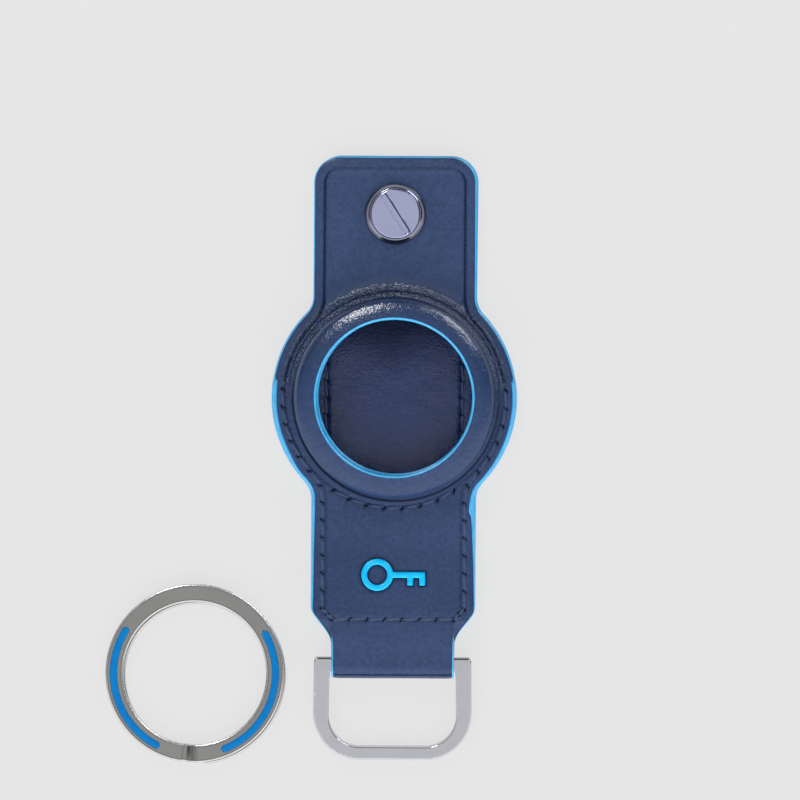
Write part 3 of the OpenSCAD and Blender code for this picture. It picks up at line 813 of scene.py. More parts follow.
RING_STEEL = metal_material("ring_steel", rgb(0.30, 0.30, 0.295), rgb(0.32, 0.32, 0.315), 0.3,
                            (1, 1, 1), 0.04, rgb(0.66, 0.655, 0.65))

# Outlines of the leather pieces. The bands give the painted edge's width at each height, seen from above
RIGHT_BAND = [(-44, 0.2), (-38.8, 0.3), (-30, 0.45), (-24, 0.62), (-21.4, 0.8), (-20.6, 1.2), (-18.5, 1.0),
              (-15, 0.65), (-10, 0.75), (3, 0.8)]
LEFT_BAND = [(-44, 0.2), (-37, 0.45), (-28, 0.5), (-22, 0.6), (-18, 0.65), (-14, 0.6), (-10, 0.85),
             (3, 0.85)]
USUAL_BAND = 0.8
FLAP_INSET = 0.37
FLAP_SHIFT = (-0.05, -0.12)
TONGUE_INSET = 0.22
BACK_INSET = 0.45
STEP_UP = 0.7
EDGE_STEP = 0.4
CORNER_ROUNDS = 4
TONGUE_ROUNDS = 26
TONGUE_CORNER_Y = -40.6
BACK_TILT = 0.014
BACK_TILT_Y = 30
BACK_SHIFT = 0.08
BACK_SHIFT_SPAN = (8, 22)


def band_at(y, side):
    ys, widths = zip(*(RIGHT_BAND if side > 0 else LEFT_BAND))
    return np.interp(y, ys, widths)


def sewn_path():
    """Outer edge of the sewn half on the right, from the fold to the tongue, its corners softened."""
    path = resampled(lower_side() + [(TONGUE_HALF_W, -TONGUE_Y - 2)], EDGE_STEP)
    for k in range(CORNER_ROUNDS + TONGUE_ROUNDS):
        softer = (path[:-2] + 2 * path[1:-1] + path[2:]) / 4
        here = (path[1:-1, 1] < TONGUE_CORNER_Y) | (k < CORNER_ROUNDS)
        path[1:-1] = np.where(here[:, None], softer, path[1:-1])
    return path[path[:, 1] > -TONGUE_Y - 0.8]


def sewn_leather_side(extra, side):
    """Edge of the sewn half's leather on one side (1 right, -1 left), from the fold to the tongue."""
    path = sewn_path()
    line = path + beside(tangents(path)) * (band_at(path[:, 1], side) + extra)[:, None]
    return [(side * x, y) for x, y in line]


def front_outline(extra, tongue_end):
    """Outline of a front layer: the sewn half, the wider flap and the tongue."""
    end_x = TONGUE_HALF_W - TONGUE_INSET - extra
    up = upper_side(FLAP_INSET + extra, FOLD_Y + STEP_UP)
    right = [(end_x, tongue_end)] + sewn_leather_side(extra, 1)[::-1] + shifted(up, *FLAP_SHIFT)
    left = shifted(mirrored(up), *FLAP_SHIFT) + sewn_leather_side(extra, -1) + [(-end_x, tongue_end)]
    return right + left


def back_outline(extra):
    up = upper_side(BACK_INSET + extra, FOLD_Y + STEP_UP)
    return (sewn_leather_side(extra, 1)[::-1] + tilted(up) + tilted(mirrored(up))
            + sewn_leather_side(extra, -1))


def tilted(path):
    """The back ply's free upper strap leans a little to the right."""
    return [(x + BACK_SHIFT * ramp(y, *BACK_SHIFT_SPAN) + BACK_TILT * max(y - BACK_TILT_Y, 0), y)
            for x, y in path]


def one_line(stretches):
    return stretches[0] + [p for stretch in stretches[1:] for p in stretch[1:]]


CREASE = upper_side(CREASE_INSET, FOLD_Y)
CREASE = shifted(CREASE + mirrored(CREASE), *FLAP_SHIFT)
SEAM_LINES = [one_line(seam_stretches(SEAM_INSET)), arc_seam()]
GROOVE_STEP = 0.58
SIDE_GROOVE = one_line(seam_stretches(SEAM_INSET + GROOVE_STEP))
FRONT_EDGE = front_outline(0, LOOP_START_Y - LOOP_L)

# Outline of the key sign on the lower strap
BOW_R = 2.9
SIGN_LINE_W = 1.1
TOOTH_H = 1.9
TOOTH_STEP = 2.2


def sign_outline():
    end_x = SIGN_HIGH[0]
    mid_y = SIGN_HIGH[1] - BOW_R
    bow = (SIGN_LOW[0] + BOW_R, mid_y)
    half = SIGN_LINE_W / 2
    open_a = degrees(asin(half / BOW_R))
    low = mid_y - half
    points = [(end_x, mid_y + half)] + arc(bow, BOW_R, open_a, 360 - open_a, 60)
    for k in (1, 0):
        right = end_x - k * TOOTH_STEP
        points += [(right - SIGN_LINE_W, low), (right - SIGN_LINE_W, mid_y - TOOTH_H),
                   (right, mid_y - TOOTH_H)]
        if k:
            points += [(right, low)]
    return points, bow


sign_points, sign_bow = sign_outline()
SIGN_EDGES = [sign_points + sign_points[:1], circle(BOW_R - SIGN_LINE_W, 60, sign_bow)]

# What is pressed into the front leather, as (depth, width), and its painted shade and wrinkles, as
# (strength, width). A wear line has a radius, two angles and a depth, a wave a height, size and seed
WEAR_ARCS = [(19.95, 160, 212, 0.1), (20.3, -16, 12, 0.09), (19.75, 205, 262, 0.07)]
WEAR_W = 0.14
# Strength of the painted shade in the wear lines' grooves
WEAR_LINE_SHADE = 6
CREASE_RIM = (0.05, 0.25)
CREASE_RIM_STEP = 0.55
GROOVE = (0.09, 0.13)
FOOT_LINE = (0.12, 0.2)
FOOT_LINE_STEP = 0.35
MARGIN_D = 0.08
EDGE_PRESS = (0.1, 0.7)
SIGN_PRESS = (0.1, 0.3)
FRONT_CHANNEL = (0.2, 0.55)
BACK_CHANNEL = (0.25, 0.62)
RIDGE = (0.13, 0.34)
RIDGE_R = FOOT_EDGE_R + 0.28
# Painted shade: at the foot, in crease ticks, creases, grooves, on the ring's wall, round the sign, at the
# fold and in holes
FOOT_SHADE_R = FOOT_EDGE_R - 0.45
FOOT_SHADE_SHIFT = 0.3
TICK_PITCH = 0.87
TICK_SHARE = 0.28
CREASE_SHADE = (0.9, 0.2)
GROOVE_SHADE = (0.45, 0.14)
FOOT_SHADE = (1, 0.26)
FOOT_SHADE_H = 1.3
WALL_SHADE = (0.7, 0.3)
WALL_SHADE_A = 55
WALL_SHADE_H = 0.8
SIGN_SHADE = (0.85, 0.26)
FOLD_SHADE = (0.9, 0.22)
HOLE_SHADE = 1.5
RIDGE_WRINKLE = (0.75, 0.75)
FOOT_WRINKLE = (0.55, 0.7)
TOP_WRINKLE = (0.45, 1.0)
SHOULDER_WRINKLE = (0.05, 1.6)
LEAST_WRINKLE = 0.02
SHINE_START = (WINDOW_R + 1.3, WINDOW_R + 2.2)
SHINE_FADE = 0.6
LOWER_SHINE = 0.35
FOOT_SHINE = (1, 1.9)
CALM_WAVES = [(0.035, 9.0, 3.1), (0.012, 2.6, 7.7)]
DENT_WAVES = [(0.022, 3.2, 5.5), (0.008, 1.1, 2.2)]
FOLD_WAVES = [(0.09, 0.7, 4.4), (0.06, 0.25, 8.8)]
FLOOR_WAVES = [(0.1, 6.5, 1.4), (0.045, 2.4, 8.2)]


def foot_strength(angle):
    """How sharply the moulding's foot is pressed, strongest at the lower left."""
    return 0.65 + 0.35 * np.cos(np.radians(angle - 245))


def upper_share(angle):
    """1 in the upper half of the moulding, 0 in the lower."""
    return ramp(np.sin(np.radians(angle)), -0.15, 0.4)


def polar(points):
    return np.hypot(points[:, 0], points[:, 1]), np.degrees(np.arctan2(points[:, 1], points[:, 0]))


def wear_lines(points):
    return sum(hill((depth, WEAR_W), distance_to(points, arc((0, 0), r, a, b, 24)))
               for r, a, b, depth in WEAR_ARCS)


def near_top(points):
    """1 along the strap's top edge, 0 below it."""
    return ramp(points[:, 1], TOP_Y - 4, TOP_Y - 2.5)


def seam_depth(points, channel):
    """Depth of the sewn channel, whose wall runs between two distances, and of its holes."""
    wall = ramp(nearest(points, SEAM_LINES), *channel)
    return CHANNEL_D * (1 - wall) + HOLE_D * hole_depth(points, FRONT_SEAMS)


def front_features(points):
    """Depth of everything pressed into the front leather."""
    r, angle = polar(points)
    upper = upper_share(angle)
    crease = distance_to(points, CREASE)
    edge = distance_to(points, FRONT_EDGE + FRONT_EDGE[:1])
    margin = 1 - ramp(edge, CREASE_INSET - 0.5, CREASE_INSET + 0.1)
    margin *= ramp(points[:, 1], FOLD_Y, FOLD_Y + 1)
    depth = hill((CREASE_D, CREASE_W / 2), crease) * (1 - 0.6 * near_top(points))
    depth += seam_depth(points, FRONT_CHANNEL) + hill(GROOVE, distance_to(points, SIDE_GROOVE))
    depth += hill(FOOT_LINE, r - FOOT_EDGE_R - FOOT_LINE_STEP) * foot_strength(angle) * (1 - upper)
    depth -= hill(RIDGE, r - RIDGE_R) * (0.15 + 0.85 * upper)
    depth += wear_lines(points) + MARGIN_D * margin + hill(EDGE_PRESS, edge)
    depth -= hill(CREASE_RIM, crease - CREASE_RIM_STEP) * (edge > CREASE_INSET)
    return depth + hill(SIGN_PRESS, nearest(points, SIGN_EDGES))


def front_top(points):
    calm = ramp(polar(points)[0], FOOT_EDGE_R, FOOT_EDGE_R + 2)
    return Z_TOP - front_features(points) + calm * waves(points, *CALM_WAVES)


def flat(level):
    return lambda points: np.full(len(points), level)


def front_painted_shade(co):
    """Painted shade on the front leather: darker in creases, grooves, holes and wear lines, at the
    moulding's foot, round the sign and at the fold.
    """
    plan = co[:, :2]
    r, angle = polar(plan)
    ticks = 1 + TICK_SHARE * (np.cos(2 * pi * plan[:, 1] / TICK_PITCH) * (plan[:, 0] > 0) - 1)
    foot_r = np.hypot(plan[:, 0] - FOOT_SHADE_SHIFT, plan[:, 1])
    foot = foot_strength(angle) * (1 - 0.85 * upper_share(angle)) * (co[:, 2] < Z_TOP + FOOT_SHADE_H)
    # Painted shade on the upper right side of the ring's wall, which turns from the light
    right = ramp(np.cos(np.radians(angle - WALL_SHADE_A)), 0.0, 0.6) * (co[:, 2] > Z_TOP + WALL_SHADE_H)
    marks = [
        hill(CREASE_SHADE, distance_to(plan, CREASE)) * ticks * (1 - 0.7 * near_top(plan)),
        hill(GROOVE_SHADE, distance_to(plan, SIDE_GROOVE)),
        HOLE_SHADE * hole_depth(plan, FRONT_SEAMS),
        hill(FOOT_SHADE, foot_r - FOOT_SHADE_R) * foot,
        hill(WALL_SHADE, r - POCKET_WALL_R) * right,
        WEAR_LINE_SHADE * wear_lines(plan),
        hill(SIGN_SHADE, nearest(plan, SIGN_EDGES)),
        hill(FOLD_SHADE, plan[:, 1] - FOLD_LINE_Y + waves(plan, *FOLD_WAVES)),
    ]
    return (co[:, 2] > Z_LINING + 0.2) * np.clip(np.maximum.reduce(marks), 0, 1)


def front_wrinkle(co):
    """Where the leather is wrinkled: along the upper foot of the moulding, a little on its shoulder,
    and along the crease at the strap's top."""
    r, angle = polar(co[:, :2])
    foot = np.maximum(hill(RIDGE_WRINKLE, r - RIDGE_R - 0.35), hill(FOOT_WRINKLE, r - FOOT_EDGE_R + 0.35))
    foot *= 0.2 + 0.8 * upper_share(angle)
    top = hill(TOP_WRINKLE, distance_to(co[:, :2], CREASE)) * ramp(co[:, 1], TOP_Y - 4.5, TOP_Y - 3)
    return LEAST_WRINKLE + foot + hill(SHOULDER_WRINKLE, r - SHOULDER_X - 0.5) + top


def front_shine(co):
    """Where the moulded leather is polished: on the ring's shoulder and its upper foot."""
    r, angle = polar(co[:, :2])
    upper = upper_share(angle)
    shoulder = ramp(r, *SHINE_START) * ramp(-r, -FOOT_EDGE_R, -FOOT_EDGE_R + SHINE_FADE)
    foot = upper * hill(FOOT_SHINE, r - FOOT_EDGE_R - 0.9)
    return np.maximum((LOWER_SHINE + (1 - LOWER_SHINE) * upper) * shoulder, foot)


def crumpled(co):
    """Small dents of the moulded leather, on the ring's outer face only."""
    r = polar(co[:, :2])[0]
    on_ring = ramp(-r, -FOOT_EDGE_R - 0.3, -FOOT_EDGE_R + 0.8) * ramp(r, WINDOW_R + 0.4, WINDOW_R + 1.2)
    size = on_ring * waves(co, *DENT_WAVES)
    out = co.copy()
    out[:, 2] += size
    out[:, :2] *= (1 + size / np.maximum(r, 1))[:, None]
    return out


# Walls of the sheets: the leather's edge is rounded, a hole's edge nearly square
LEATHER_WALL = [(0.4, 1, 0), (0.22, 1, -0.03), (0.09, 1, -0.11), (0.02, 1, -0.24), (0, 1, -0.42),
                (0, 0, 0.35), (0.05, 0, 0.15), (0.16, 0, 0.04), (0.4, 0, 0)]
THIN_WALL = [(0.2, 1, 0), (0.07, 1, -0.04), (0, 1, -0.15), (0, 0, 0.15), (0.07, 0, 0.04), (0.2, 0, 0)]
HOLE_WALL = [(0.1, 1, 0), (0.02, 1, -0.03), (0, 1, -0.1), (0, 0, 0.1), (0.02, 0, 0.03), (0.1, 0, 0)]
FLAP_HOLE_R = 2.9
RING_STEPS = 420
RIM_STEPS = 240
FRONT_STEP = 0.42
LINING_STEP = 0.8
BACK_STEP = 0.6
FLOOR_STEP = 0.55
SHOULDER_LINE_X = 11
SHOULDER_LINE_YS = (-39.8, -TONGUE_Y - 0.9)
SCREW_PLACE = (0, SCREW_Y)
SEAM_OFFSETS = both_ways(0.2, 0.4, 0.6)
POINTS_APART = 0.09

seam_dense = [ribbon(line, SEAM_OFFSETS) for line in SEAM_LINES]
fold_line = [(-TONGUE_HALF_W, FOLD_LINE_Y), (TONGUE_HALF_W, FOLD_LINE_Y)]
shoulder_lines = [[(side * SHOULDER_LINE_X, y) for y in SHOULDER_LINE_YS] for side in (-1, 1)]
front_dense = thinned(np.concatenate([
    hole_points(FRONT_SEAMS), ribbon(CREASE, both_ways(0.12, 0.26, 0.45)), *seam_dense,
    ribbon(SIDE_GROOVE, np.linspace(-0.14, 0.14, 3)),
    *[ribbon(resampled(edge, 0.2), np.linspace(-0.28, 0.28, 5), 0.2) for edge in SIGN_EDGES],
    *[ribbon(line, np.linspace(-0.45, 0.45, 7), 0.3) for line in shoulder_lines],
    ribbon(fold_line, np.linspace(-0.6, 0.6, 9), 0.2),
    ribbon(arc((0, 0), FOOT_EDGE_R + 0.2, 0, 360, 240), (0, 0.16, 0.34, 0.6, 0.9, 1.2), 0.3),
]), POINTS_APART)

front_leather = sheet_mesh(
    "front_leather", FRONT_EDGE, LEATHER_WALL,
    [(circle(FOOT_EDGE_R, RING_STEPS), ring_wall(0, OUTER_T, WINDOW_R + WINDOW_PAINT_W)),
     (circle(FLAP_HOLE_R, 48, SCREW_PLACE), HOLE_WALL)],
    front_top, flat(Z_LINING), FRONT_STEP, front_dense, lambda co: bend_round_bar(crumpled(co)),
    {"painted_shade": front_painted_shade, "wrinkle": front_wrinkle, "shine": front_shine})
dress(front_leather, OUTER_LEATHER, FLAP_BEND, "front_panel", "flap_panel", "ring_loop")

front_lining = sheet_mesh(
    "front_lining_leather", front_outline(0.12, -TONGUE_Y), THIN_WALL,
    [(circle(FOOT_EDGE_R, RIM_STEPS), ring_wall(OUTER_T, LINING_T, WINDOW_R + WINDOW_PAINT_W)),
     (circle(FLAP_HOLE_R, 40, SCREW_PLACE), HOLE_WALL)],
    flat(Z_LINING), flat(Z_FLOOR), LINING_STEP, (), lifted, {"wrinkle": flat(0.05)})
dress(front_lining, LINING_LEATHER, FLAP_BEND, "front_lining", "flap_lining")

# The back: outer leather with the seam and the post's seat, and the lining seen through the window
POST_SEAT_R = POST_HEAD_R + 0.06
POST_BORE_R = 2.35
POST_SEAT_Z = 0.7
POST_SEAT_W = POST_SEAT_R - POST_BORE_R
POST_WALL = [(0.12, 1, 0), (0, 1, 0), (-POST_SEAT_W, 1, 0), (-POST_SEAT_W, None, POST_SEAT_Z),
             (0, None, POST_SEAT_Z), (0, 0, 0.12), (0.04, 0, 0.03), (0.12, 0, 0)]


# Painted shade in the stitch holes of the back leather
def back_painted_shade(co):
    return (co[:, 2] < Z_BACK - 0.2) * hole_depth(co[:, :2], FRONT_SEAMS)


back_leather = sheet_mesh(
    "back_leather", back_outline(0), LEATHER_WALL, [(circle(POST_SEAT_R, 64, SCREW_PLACE), POST_WALL)],
    flat(Z_BACK), lambda points: seam_depth(points, BACK_CHANNEL), BACK_STEP,
    thinned(np.concatenate([hole_points(FRONT_SEAMS), *seam_dense]), POINTS_APART), None,
    {"painted_shade": back_painted_shade, "wrinkle": flat(0.03)})
dress(back_leather, OUTER_LEATHER, "holder", "back_panel")

LINING_SEAM_LINES = [lining_seam(-1), lining_seam(1)]
LINING_CHANNEL_D = 0.16
LINING_CHANNEL = (0.25, 0.6)
LINING_HOLE_D = 0.3
FLOOR_SHADE = 0.75
FLOOR_SHADE_SPAN = (2, 13)
FLOOR_R = 16
FLOOR_DENT_R = 13.5
FLOOR_WRINKLE = 0.22
FLOOR_WRINKLE_SPAN = (-4, 12)


def floor_top(points):
    """The pocket's floor: pressed seam rows, and soft dents where the tag has lain."""
    depth = LINING_CHANNEL_D * (1 - ramp(nearest(points, LINING_SEAM_LINES), *LINING_CHANNEL))
    depth += LINING_HOLE_D * hole_depth(points, LINING_SEAMS)
    dented = 1 - ramp(polar(points)[0], FLOOR_DENT_R, FLOOR_R)
    return Z_FLOOR - depth + dented * waves(points, *FLOOR_WAVES)


def floor_painted_shade(co):
    """Painted shade: darker in the stitch holes, and towards the pocket's end under the flap."""
    shade = FLOOR_SHADE * ramp(co[:, 1] - 0.35 * np.abs(co[:, 0]), *FLOOR_SHADE_SPAN)
    return (co[:, 2] > Z_BACK + 0.2) * np.maximum(hole_depth(co[:, :2], LINING_SEAMS), shade)


def floor_wrinkle(co):
    return 0.03 + (polar(co[:, :2])[0] < FLOOR_R) * FLOOR_WRINKLE * ramp(co[:, 1], *FLOOR_WRINKLE_SPAN)


floor_dense = [ribbon(line, both_ways(0.25, 0.5)) for line in LINING_SEAM_LINES]
back_lining = sheet_mesh(
    "back_lining_leather", back_outline(0.1), THIN_WALL, [(circle(POST_BORE_R, 48, SCREW_PLACE), HOLE_WALL)],
    floor_top, flat(Z_BACK), FLOOR_STEP,
    thinned(np.concatenate([hole_points(LINING_SEAMS), *floor_dense]), POINTS_APART), None,
    {"painted_shade": floor_painted_shade, "wrinkle": floor_wrinkle})
dress(back_lining, LINING_LEATHER, "holder", "back_lining")

# Painted edges. A section is (out, height) pairs
SEWN_SECTION = [(-1.15, 3.15), (-0.95, 3.42), (-0.8, 3.52), (-0.66, 3.5), (-0.5, 3.38), (-0.39, 3.12),
                (-0.34, 2.75), (-0.37, 2.35), (-0.46, 2.02), (-0.5, 1.86), (-0.3, 1.76), (-0.12, 1.62),
                (-0.03, 1.35), (0, 1.0), (-0.04, 0.6), (-0.15, 0.32), (-0.35, 0.16), (-0.6, 0.1),
                (-1.15, 0.12)]


def sewn_band(side):
    """The sewn half's painted edge on one side, as wide at each height as its band."""
    path = sewn_path()
    shares = band_at(path[:, 1], side) / USUAL_BAND
    sections = [[(-side * u * share, z) for u, z in SEWN_SECTION] for share in shares]
    return swept(at_height((side * x, y) for x, y in path), sections)


sewn_verts, sewn_faces = joined([sewn_band(1), sewn_band(-1)])
dress(new_piece("sewn_edge", lifted(sewn_verts), sewn_faces), EDGE_PAINT, "holder", "sewn_edge_paint")


def bead(low, high, width, lip=0.12):
    """Rounded section of paint on an edge, from the height low to high, outermost at out 0."""
    r = min(width, (high - low) / 2) * 0.9
    return ([(-width - lip, low + lip), (-width, low)] + arc((-r, low + r), r, 270, 360, 5)
            + arc((-r, high - r), r, 0, 90, 5) + [(-width, high), (-width - lip, high - lip)])


BACK_PAINT_OUT = 0.08
BACK_BEAD = bead(0.1, 1.74, 0.42)
FLAP_PAINT_OUT = 0.25
FLAP_BEAD = bead(1.88, 3.3, 0.3)
back_up = upper_side(BACK_PAINT_OUT)
back_up = resampled(tilted(back_up + mirrored(back_up)), EDGE_STEP)
back_edge = new_piece("back_edge", *swept(at_height(back_up), BACK_BEAD))
dress(back_edge, EDGE_PAINT, "holder", "back_edge_paint")
flap_up = upper_side(FLAP_PAINT_OUT)
flap_up = resampled(shifted(flap_up + mirrored(flap_up), *FLAP_SHIFT), EDGE_STEP)
flap_edge = new_piece("flap_edge", *swept(at_height(flap_up), FLAP_BEAD))
dress(flap_edge, EDGE_PAINT, FLAP_BEND, "flap_edge_paint")


def window_bead(name, path, z, section, *nodes):
    """A painted rim of the window, whose section is turned towards its middle."""
    section = [(-u, v) for u, v in section]
    dress(new_piece(name, *swept(at_height(path, z), section, True)), EDGE_PAINT, FLAP_BEND, *nodes)


LINING_WINDOW_STEP = 0.1
LINING_WINDOW_SHIFT = (0.27, 0.27)
LINING_ROOT = WINDOW_PAINT_W + 0.65
LINING_ROOT_HALF_T = 0.08
window_bead("window_edge", circle(WINDOW_R, RIM_STEPS), CROWN_Z - OUTER_T / 2,
            bead(-OUTER_T / 2, OUTER_T / 2 + 0.02, WINDOW_PAINT_W + 0.03, 0.05),
            "window_edge_lower", "window_edge_upper")
window_bead("lining_window_edge",
            shifted(circle(WINDOW_R - LINING_WINDOW_STEP, RIM_STEPS), *LINING_WINDOW_SHIFT),
            CROWN_Z - OUTER_T - LINING_T / 2,
            [(-LINING_ROOT, -LINING_ROOT_HALF_T), *bead(-LINING_T / 2, LINING_T / 2, WINDOW_PAINT_W)[1:-1],
             (-LINING_ROOT, LINING_ROOT_HALF_T)],
            "lining_edge_lower", "lining_edge_upper")


def tongue_edges():
    """Paint on both side edges of the leather that runs round the D-ring's bar."""
    s = np.linspace(TONGUE_Y + LOOP_START_Y - 0.2, LOOP_L - 0.3, 90)
    point, normal = loop_frame(s)
    x = TONGUE_HALF_W - TONGUE_INSET
    half = OUTER_T / 2
    middle = point - normal * half
    middle[:, 1] -= shoulder_drop(np.full(len(s), x), LOOP_START_Y - s)
    section = [(-0.1, 0.1 - half), (0.1, 0.06 - half), (0.19, 0.18 - half), (0.22, -0.2), (0.22, 0.2),
               (0.19, half - 0.18), (0.1, half - 0.06), (-0.1, half - 0.1)]
    faces = tube_faces(len(s), len(section), False)
    right = np.array([(x + out, y + n[0] * up, z + n[1] * up)
                      for (y, z), n in zip(middle, normal) for out, up in section])
    return joined([(right * (-1, 1, 1), faces), (right, faces)])


dress(new_piece("tongue_edge", *tongue_edges()), EDGE_PAINT, "holder", "sewn_edge_paint")

# Threads
front_thread = thread_mesh("front_thread", FRONT_SEAMS, Z_TOP - CHANNEL_D - 0.04, 1, lifted)
back_thread = thread_mesh("back_thread", FRONT_SEAMS, CHANNEL_D + 0.1, -1)
lining_thread = thread_mesh("lining_thread", LINING_SEAMS, Z_FLOOR - 0.06, 1)
dress(front_thread, THREAD, "holder", "front_stitching")
dress(back_thread, THREAD, "holder", "back_stitching")
dress(lining_thread, THREAD, "holder", "lining_stitching")

# Screw, washer and post. A profile is (radius, height) pairs
WASHER_BORE_R = 1.6
WASHER_FLOOR_Z = Z_TOP + 0.5
WASHER_RIM_Z = Z_TOP + 0.62
CUP_R = HEAD_R + 0.05
WASHER_PROFILE = [
    (WASHER_BORE_R, Z_TOP), (WASHER_R - 0.12, Z_TOP), (WASHER_R - 0.03, Z_TOP + 0.05),
    (WASHER_R, Z_TOP + 0.15), (WASHER_R, WASHER_RIM_Z - 0.14), (WASHER_R - 0.03, WASHER_RIM_Z - 0.04),
    (WASHER_R - 0.12, WASHER_RIM_Z + 0.06), (CUP_R + 0.34, WASHER_TOP - 0.14),
    (CUP_R + 0.2, WASHER_TOP - 0.03), (CUP_R + 0.12, WASHER_TOP), (CUP_R + 0.05, WASHER_TOP - 0.01),
    (CUP_R, WASHER_TOP - 0.07), (CUP_R, WASHER_FLOOR_Z), (WASHER_BORE_R, WASHER_FLOOR_Z)]
dress(new_piece("cup_washer_turned", *turned(WASHER_PROFILE)), DARK_STEEL, "washer", "cup_washer")

SLOT_A = -57
SLOT_L = 8.3
SLOT_W = 1.0
SLOT_D = 0.5
SHANK_R = 1.45
AXIS_R = 0.02
HEAD_WALL = [(0.22, 1, 0), (0.12, 1, -0.015), (0.05, 1, -0.06), (0.01, 1, -0.13), (0, 1, -0.2), (0, 0, 0),
             (0.22, 0, 0)]
SLOT_WALL = [(0.03, 1, 0), (0, 1, -0.01), (-0.04, 1, -0.04), (-0.1, 1, -0.3), (-0.1, 0, 0), (0.03, 0, 0)]
UNDER_Z = HEAD_TOP - SLOT_D - 0.01
HEAD_STEP = 0.25


def slot_loop():
    half = (SLOT_L - SLOT_W) / 2
    points = arc((half, 0), SLOT_W / 2, -90, 90, 10) + arc((-half, 0), SLOT_W / 2, 90, 270, 10)
    c, s = cos(radians(SLOT_A)), sin(radians(SLOT_A))
    return resampled([(x * c - y * s, SCREW_Y + x * s + y * c) for x, y in points], 0.15, True)


def slot_shade(co):
    """1 on the slot's upper right wall."""
    a = radians(SLOT_A + 90)
    across = co[:, 0] * cos(a) + (co[:, 1] - SCREW_Y) * sin(a)
    return ((across > SLOT_W / 2 - 0.15) & (across < SLOT_W / 2 + 0.06) & (co[:, 2] > HEAD_TOP - 0.35)
            & (np.hypot(co[:, 0], co[:, 1] - SCREW_Y) < SLOT_L / 2 + 0.1)).astype(float)


screw_face = sheet_mesh(
    "screw_face", circle(HEAD_R, 160, SCREW_PLACE), HEAD_WALL, [(slot_loop(), SLOT_WALL)],
    flat(HEAD_TOP), flat(HEAD_TOP - SLOT_D), HEAD_STEP, (), None, {"painted_shade": slot_shade})
dress(screw_face, SCREW_STEEL, "screw", "flap_screw")
SHANK_PROFILE = [
    (AXIS_R, SHANK_END), (SHANK_R - 0.2, SHANK_END), (SHANK_R, SHANK_END + 0.2), (SHANK_R, WASHER_FLOOR_Z),
    (HEAD_R - 0.1, WASHER_FLOOR_Z), (HEAD_R - 0.02, WASHER_FLOOR_Z + 0.05), (HEAD_R - 0.02, UNDER_Z),
    (AXIS_R, UNDER_Z)]
dress(new_piece("screw_shank", *turned(SHANK_PROFILE, 96)), SCREW_STEEL, "screw", "flap_screw")

POST_R = 2.3
POST_HOLE_R = 1.55
POST_FLOOR_Z = 1.0
POST_FACE_Z = 0.06
POST_PROFILE = [
    (AXIS_R, POST_FACE_Z), (POST_HEAD_R - 0.5, POST_FACE_Z), (POST_HEAD_R - 0.22, 0.09),
    (POST_HEAD_R - 0.06, 0.18), (POST_HEAD_R, 0.32), (POST_HEAD_R, 0.66),
    (POST_HEAD_R - 0.04, POST_SEAT_Z), (POST_R, POST_SEAT_Z), (POST_R, POST_TOP - 0.12),
    (POST_R - 0.12, POST_TOP), (POST_HOLE_R + 0.08, POST_TOP), (POST_HOLE_R, POST_TOP - 0.08),
    (POST_HOLE_R, POST_FLOOR_Z), (AXIS_R, POST_FLOOR_Z)]
dress(new_piece("screw_post_turned", *turned(POST_PROFILE, 96)), DARK_STEEL, "holder", "screw_post")

# D-ring: a flat bar with crisp edges, lying on its outer end
D_H = 17.5
D_TOP_W = 2.0
D_SIDE_W = 2.8
D_FOOT_W = 2.3
D_BAR_T = 2.6
D_EDGE = 0.3
D_CORNER_R = 8.4
D_EYE_R = 5.6
D_INNER_R = 0.8
D_TOP_CORNER_R = 0.6
D_BARREL = 0.18
D_STEP = 0.3
FLOOR_GAP = 0.02
droop_reach = hypot(D_H - D_EDGE, D_BAR_T / 2 - D_EDGE)
DROOP = (asin((D_HINGE[2] - D_EDGE - FLOOR_GAP) / droop_reach)
         - atan2(D_BAR_T / 2 - D_EDGE, D_H - D_EDGE))
LOWER_ROUND = [(0, 0, 0.28), (0.02, 0, 0.14), (0.09, 0, 0.04), (0.2, 0, 0)]
BAR_WALL = [(0.16, 1, 0), (0.09, 1, -0.02), (0.03, 1, -0.07), (0, 1, -0.16)] + LOWER_ROUND
EYE_WALL = [(0.15, 1, 0), (0.08, 1, -0.02), (0.03, 1, -0.07), (0, 1, -0.18)] + LOWER_ROUND


def d_outline(low_x, top_x, low_y, top_y, low_r, top_r, n):
    """A rectangle with its own width, corners and height at its foot and at the hinge."""
    corners = [(-low_x, low_y), (low_x, low_y), (top_x, top_y), (-top_x, top_y)]
    return filleted(corners, (low_r, low_r, top_r, top_r), n)


def d_ring_shade(co):
    """Dark where the hinge bar's upper wall turns away from the light."""
    return ((co[:, 1] > D_TOP_W / 2 - 0.12) & (co[:, 2] < D_BAR_T / 2 - 0.03)).astype(float)


def d_ring_place(co):
    c, s = cos(DROOP), sin(DROOP)
    return np.column_stack([co[:, 0], D_HINGE[1] + co[:, 1] * c - co[:, 2] * s,
                            D_HINGE[2] + co[:, 1] * s + co[:, 2] * c])


top_x = D_HALF_W - D_BARREL
outer_d = d_outline(D_HALF_W, top_x, -D_H, D_TOP_W / 2, D_CORNER_R, D_TOP_CORNER_R, 24)
inner_d = d_outline(D_HALF_W - D_SIDE_W, top_x - D_SIDE_W, -D_H + D_FOOT_W, -D_TOP_W / 2,
                    D_EYE_R, D_INNER_R, 20)
d_ring = sheet_mesh("d_ring_bar", outer_d, BAR_WALL, [(resampled(inner_d, 0.2, True), EYE_WALL)],
                    flat(D_BAR_T / 2), flat(-D_BAR_T / 2), D_STEP, (), d_ring_place, {"painted_shade": d_ring_shade})
dress(d_ring, POLISHED_STEEL, "d_ring", "d_ring")

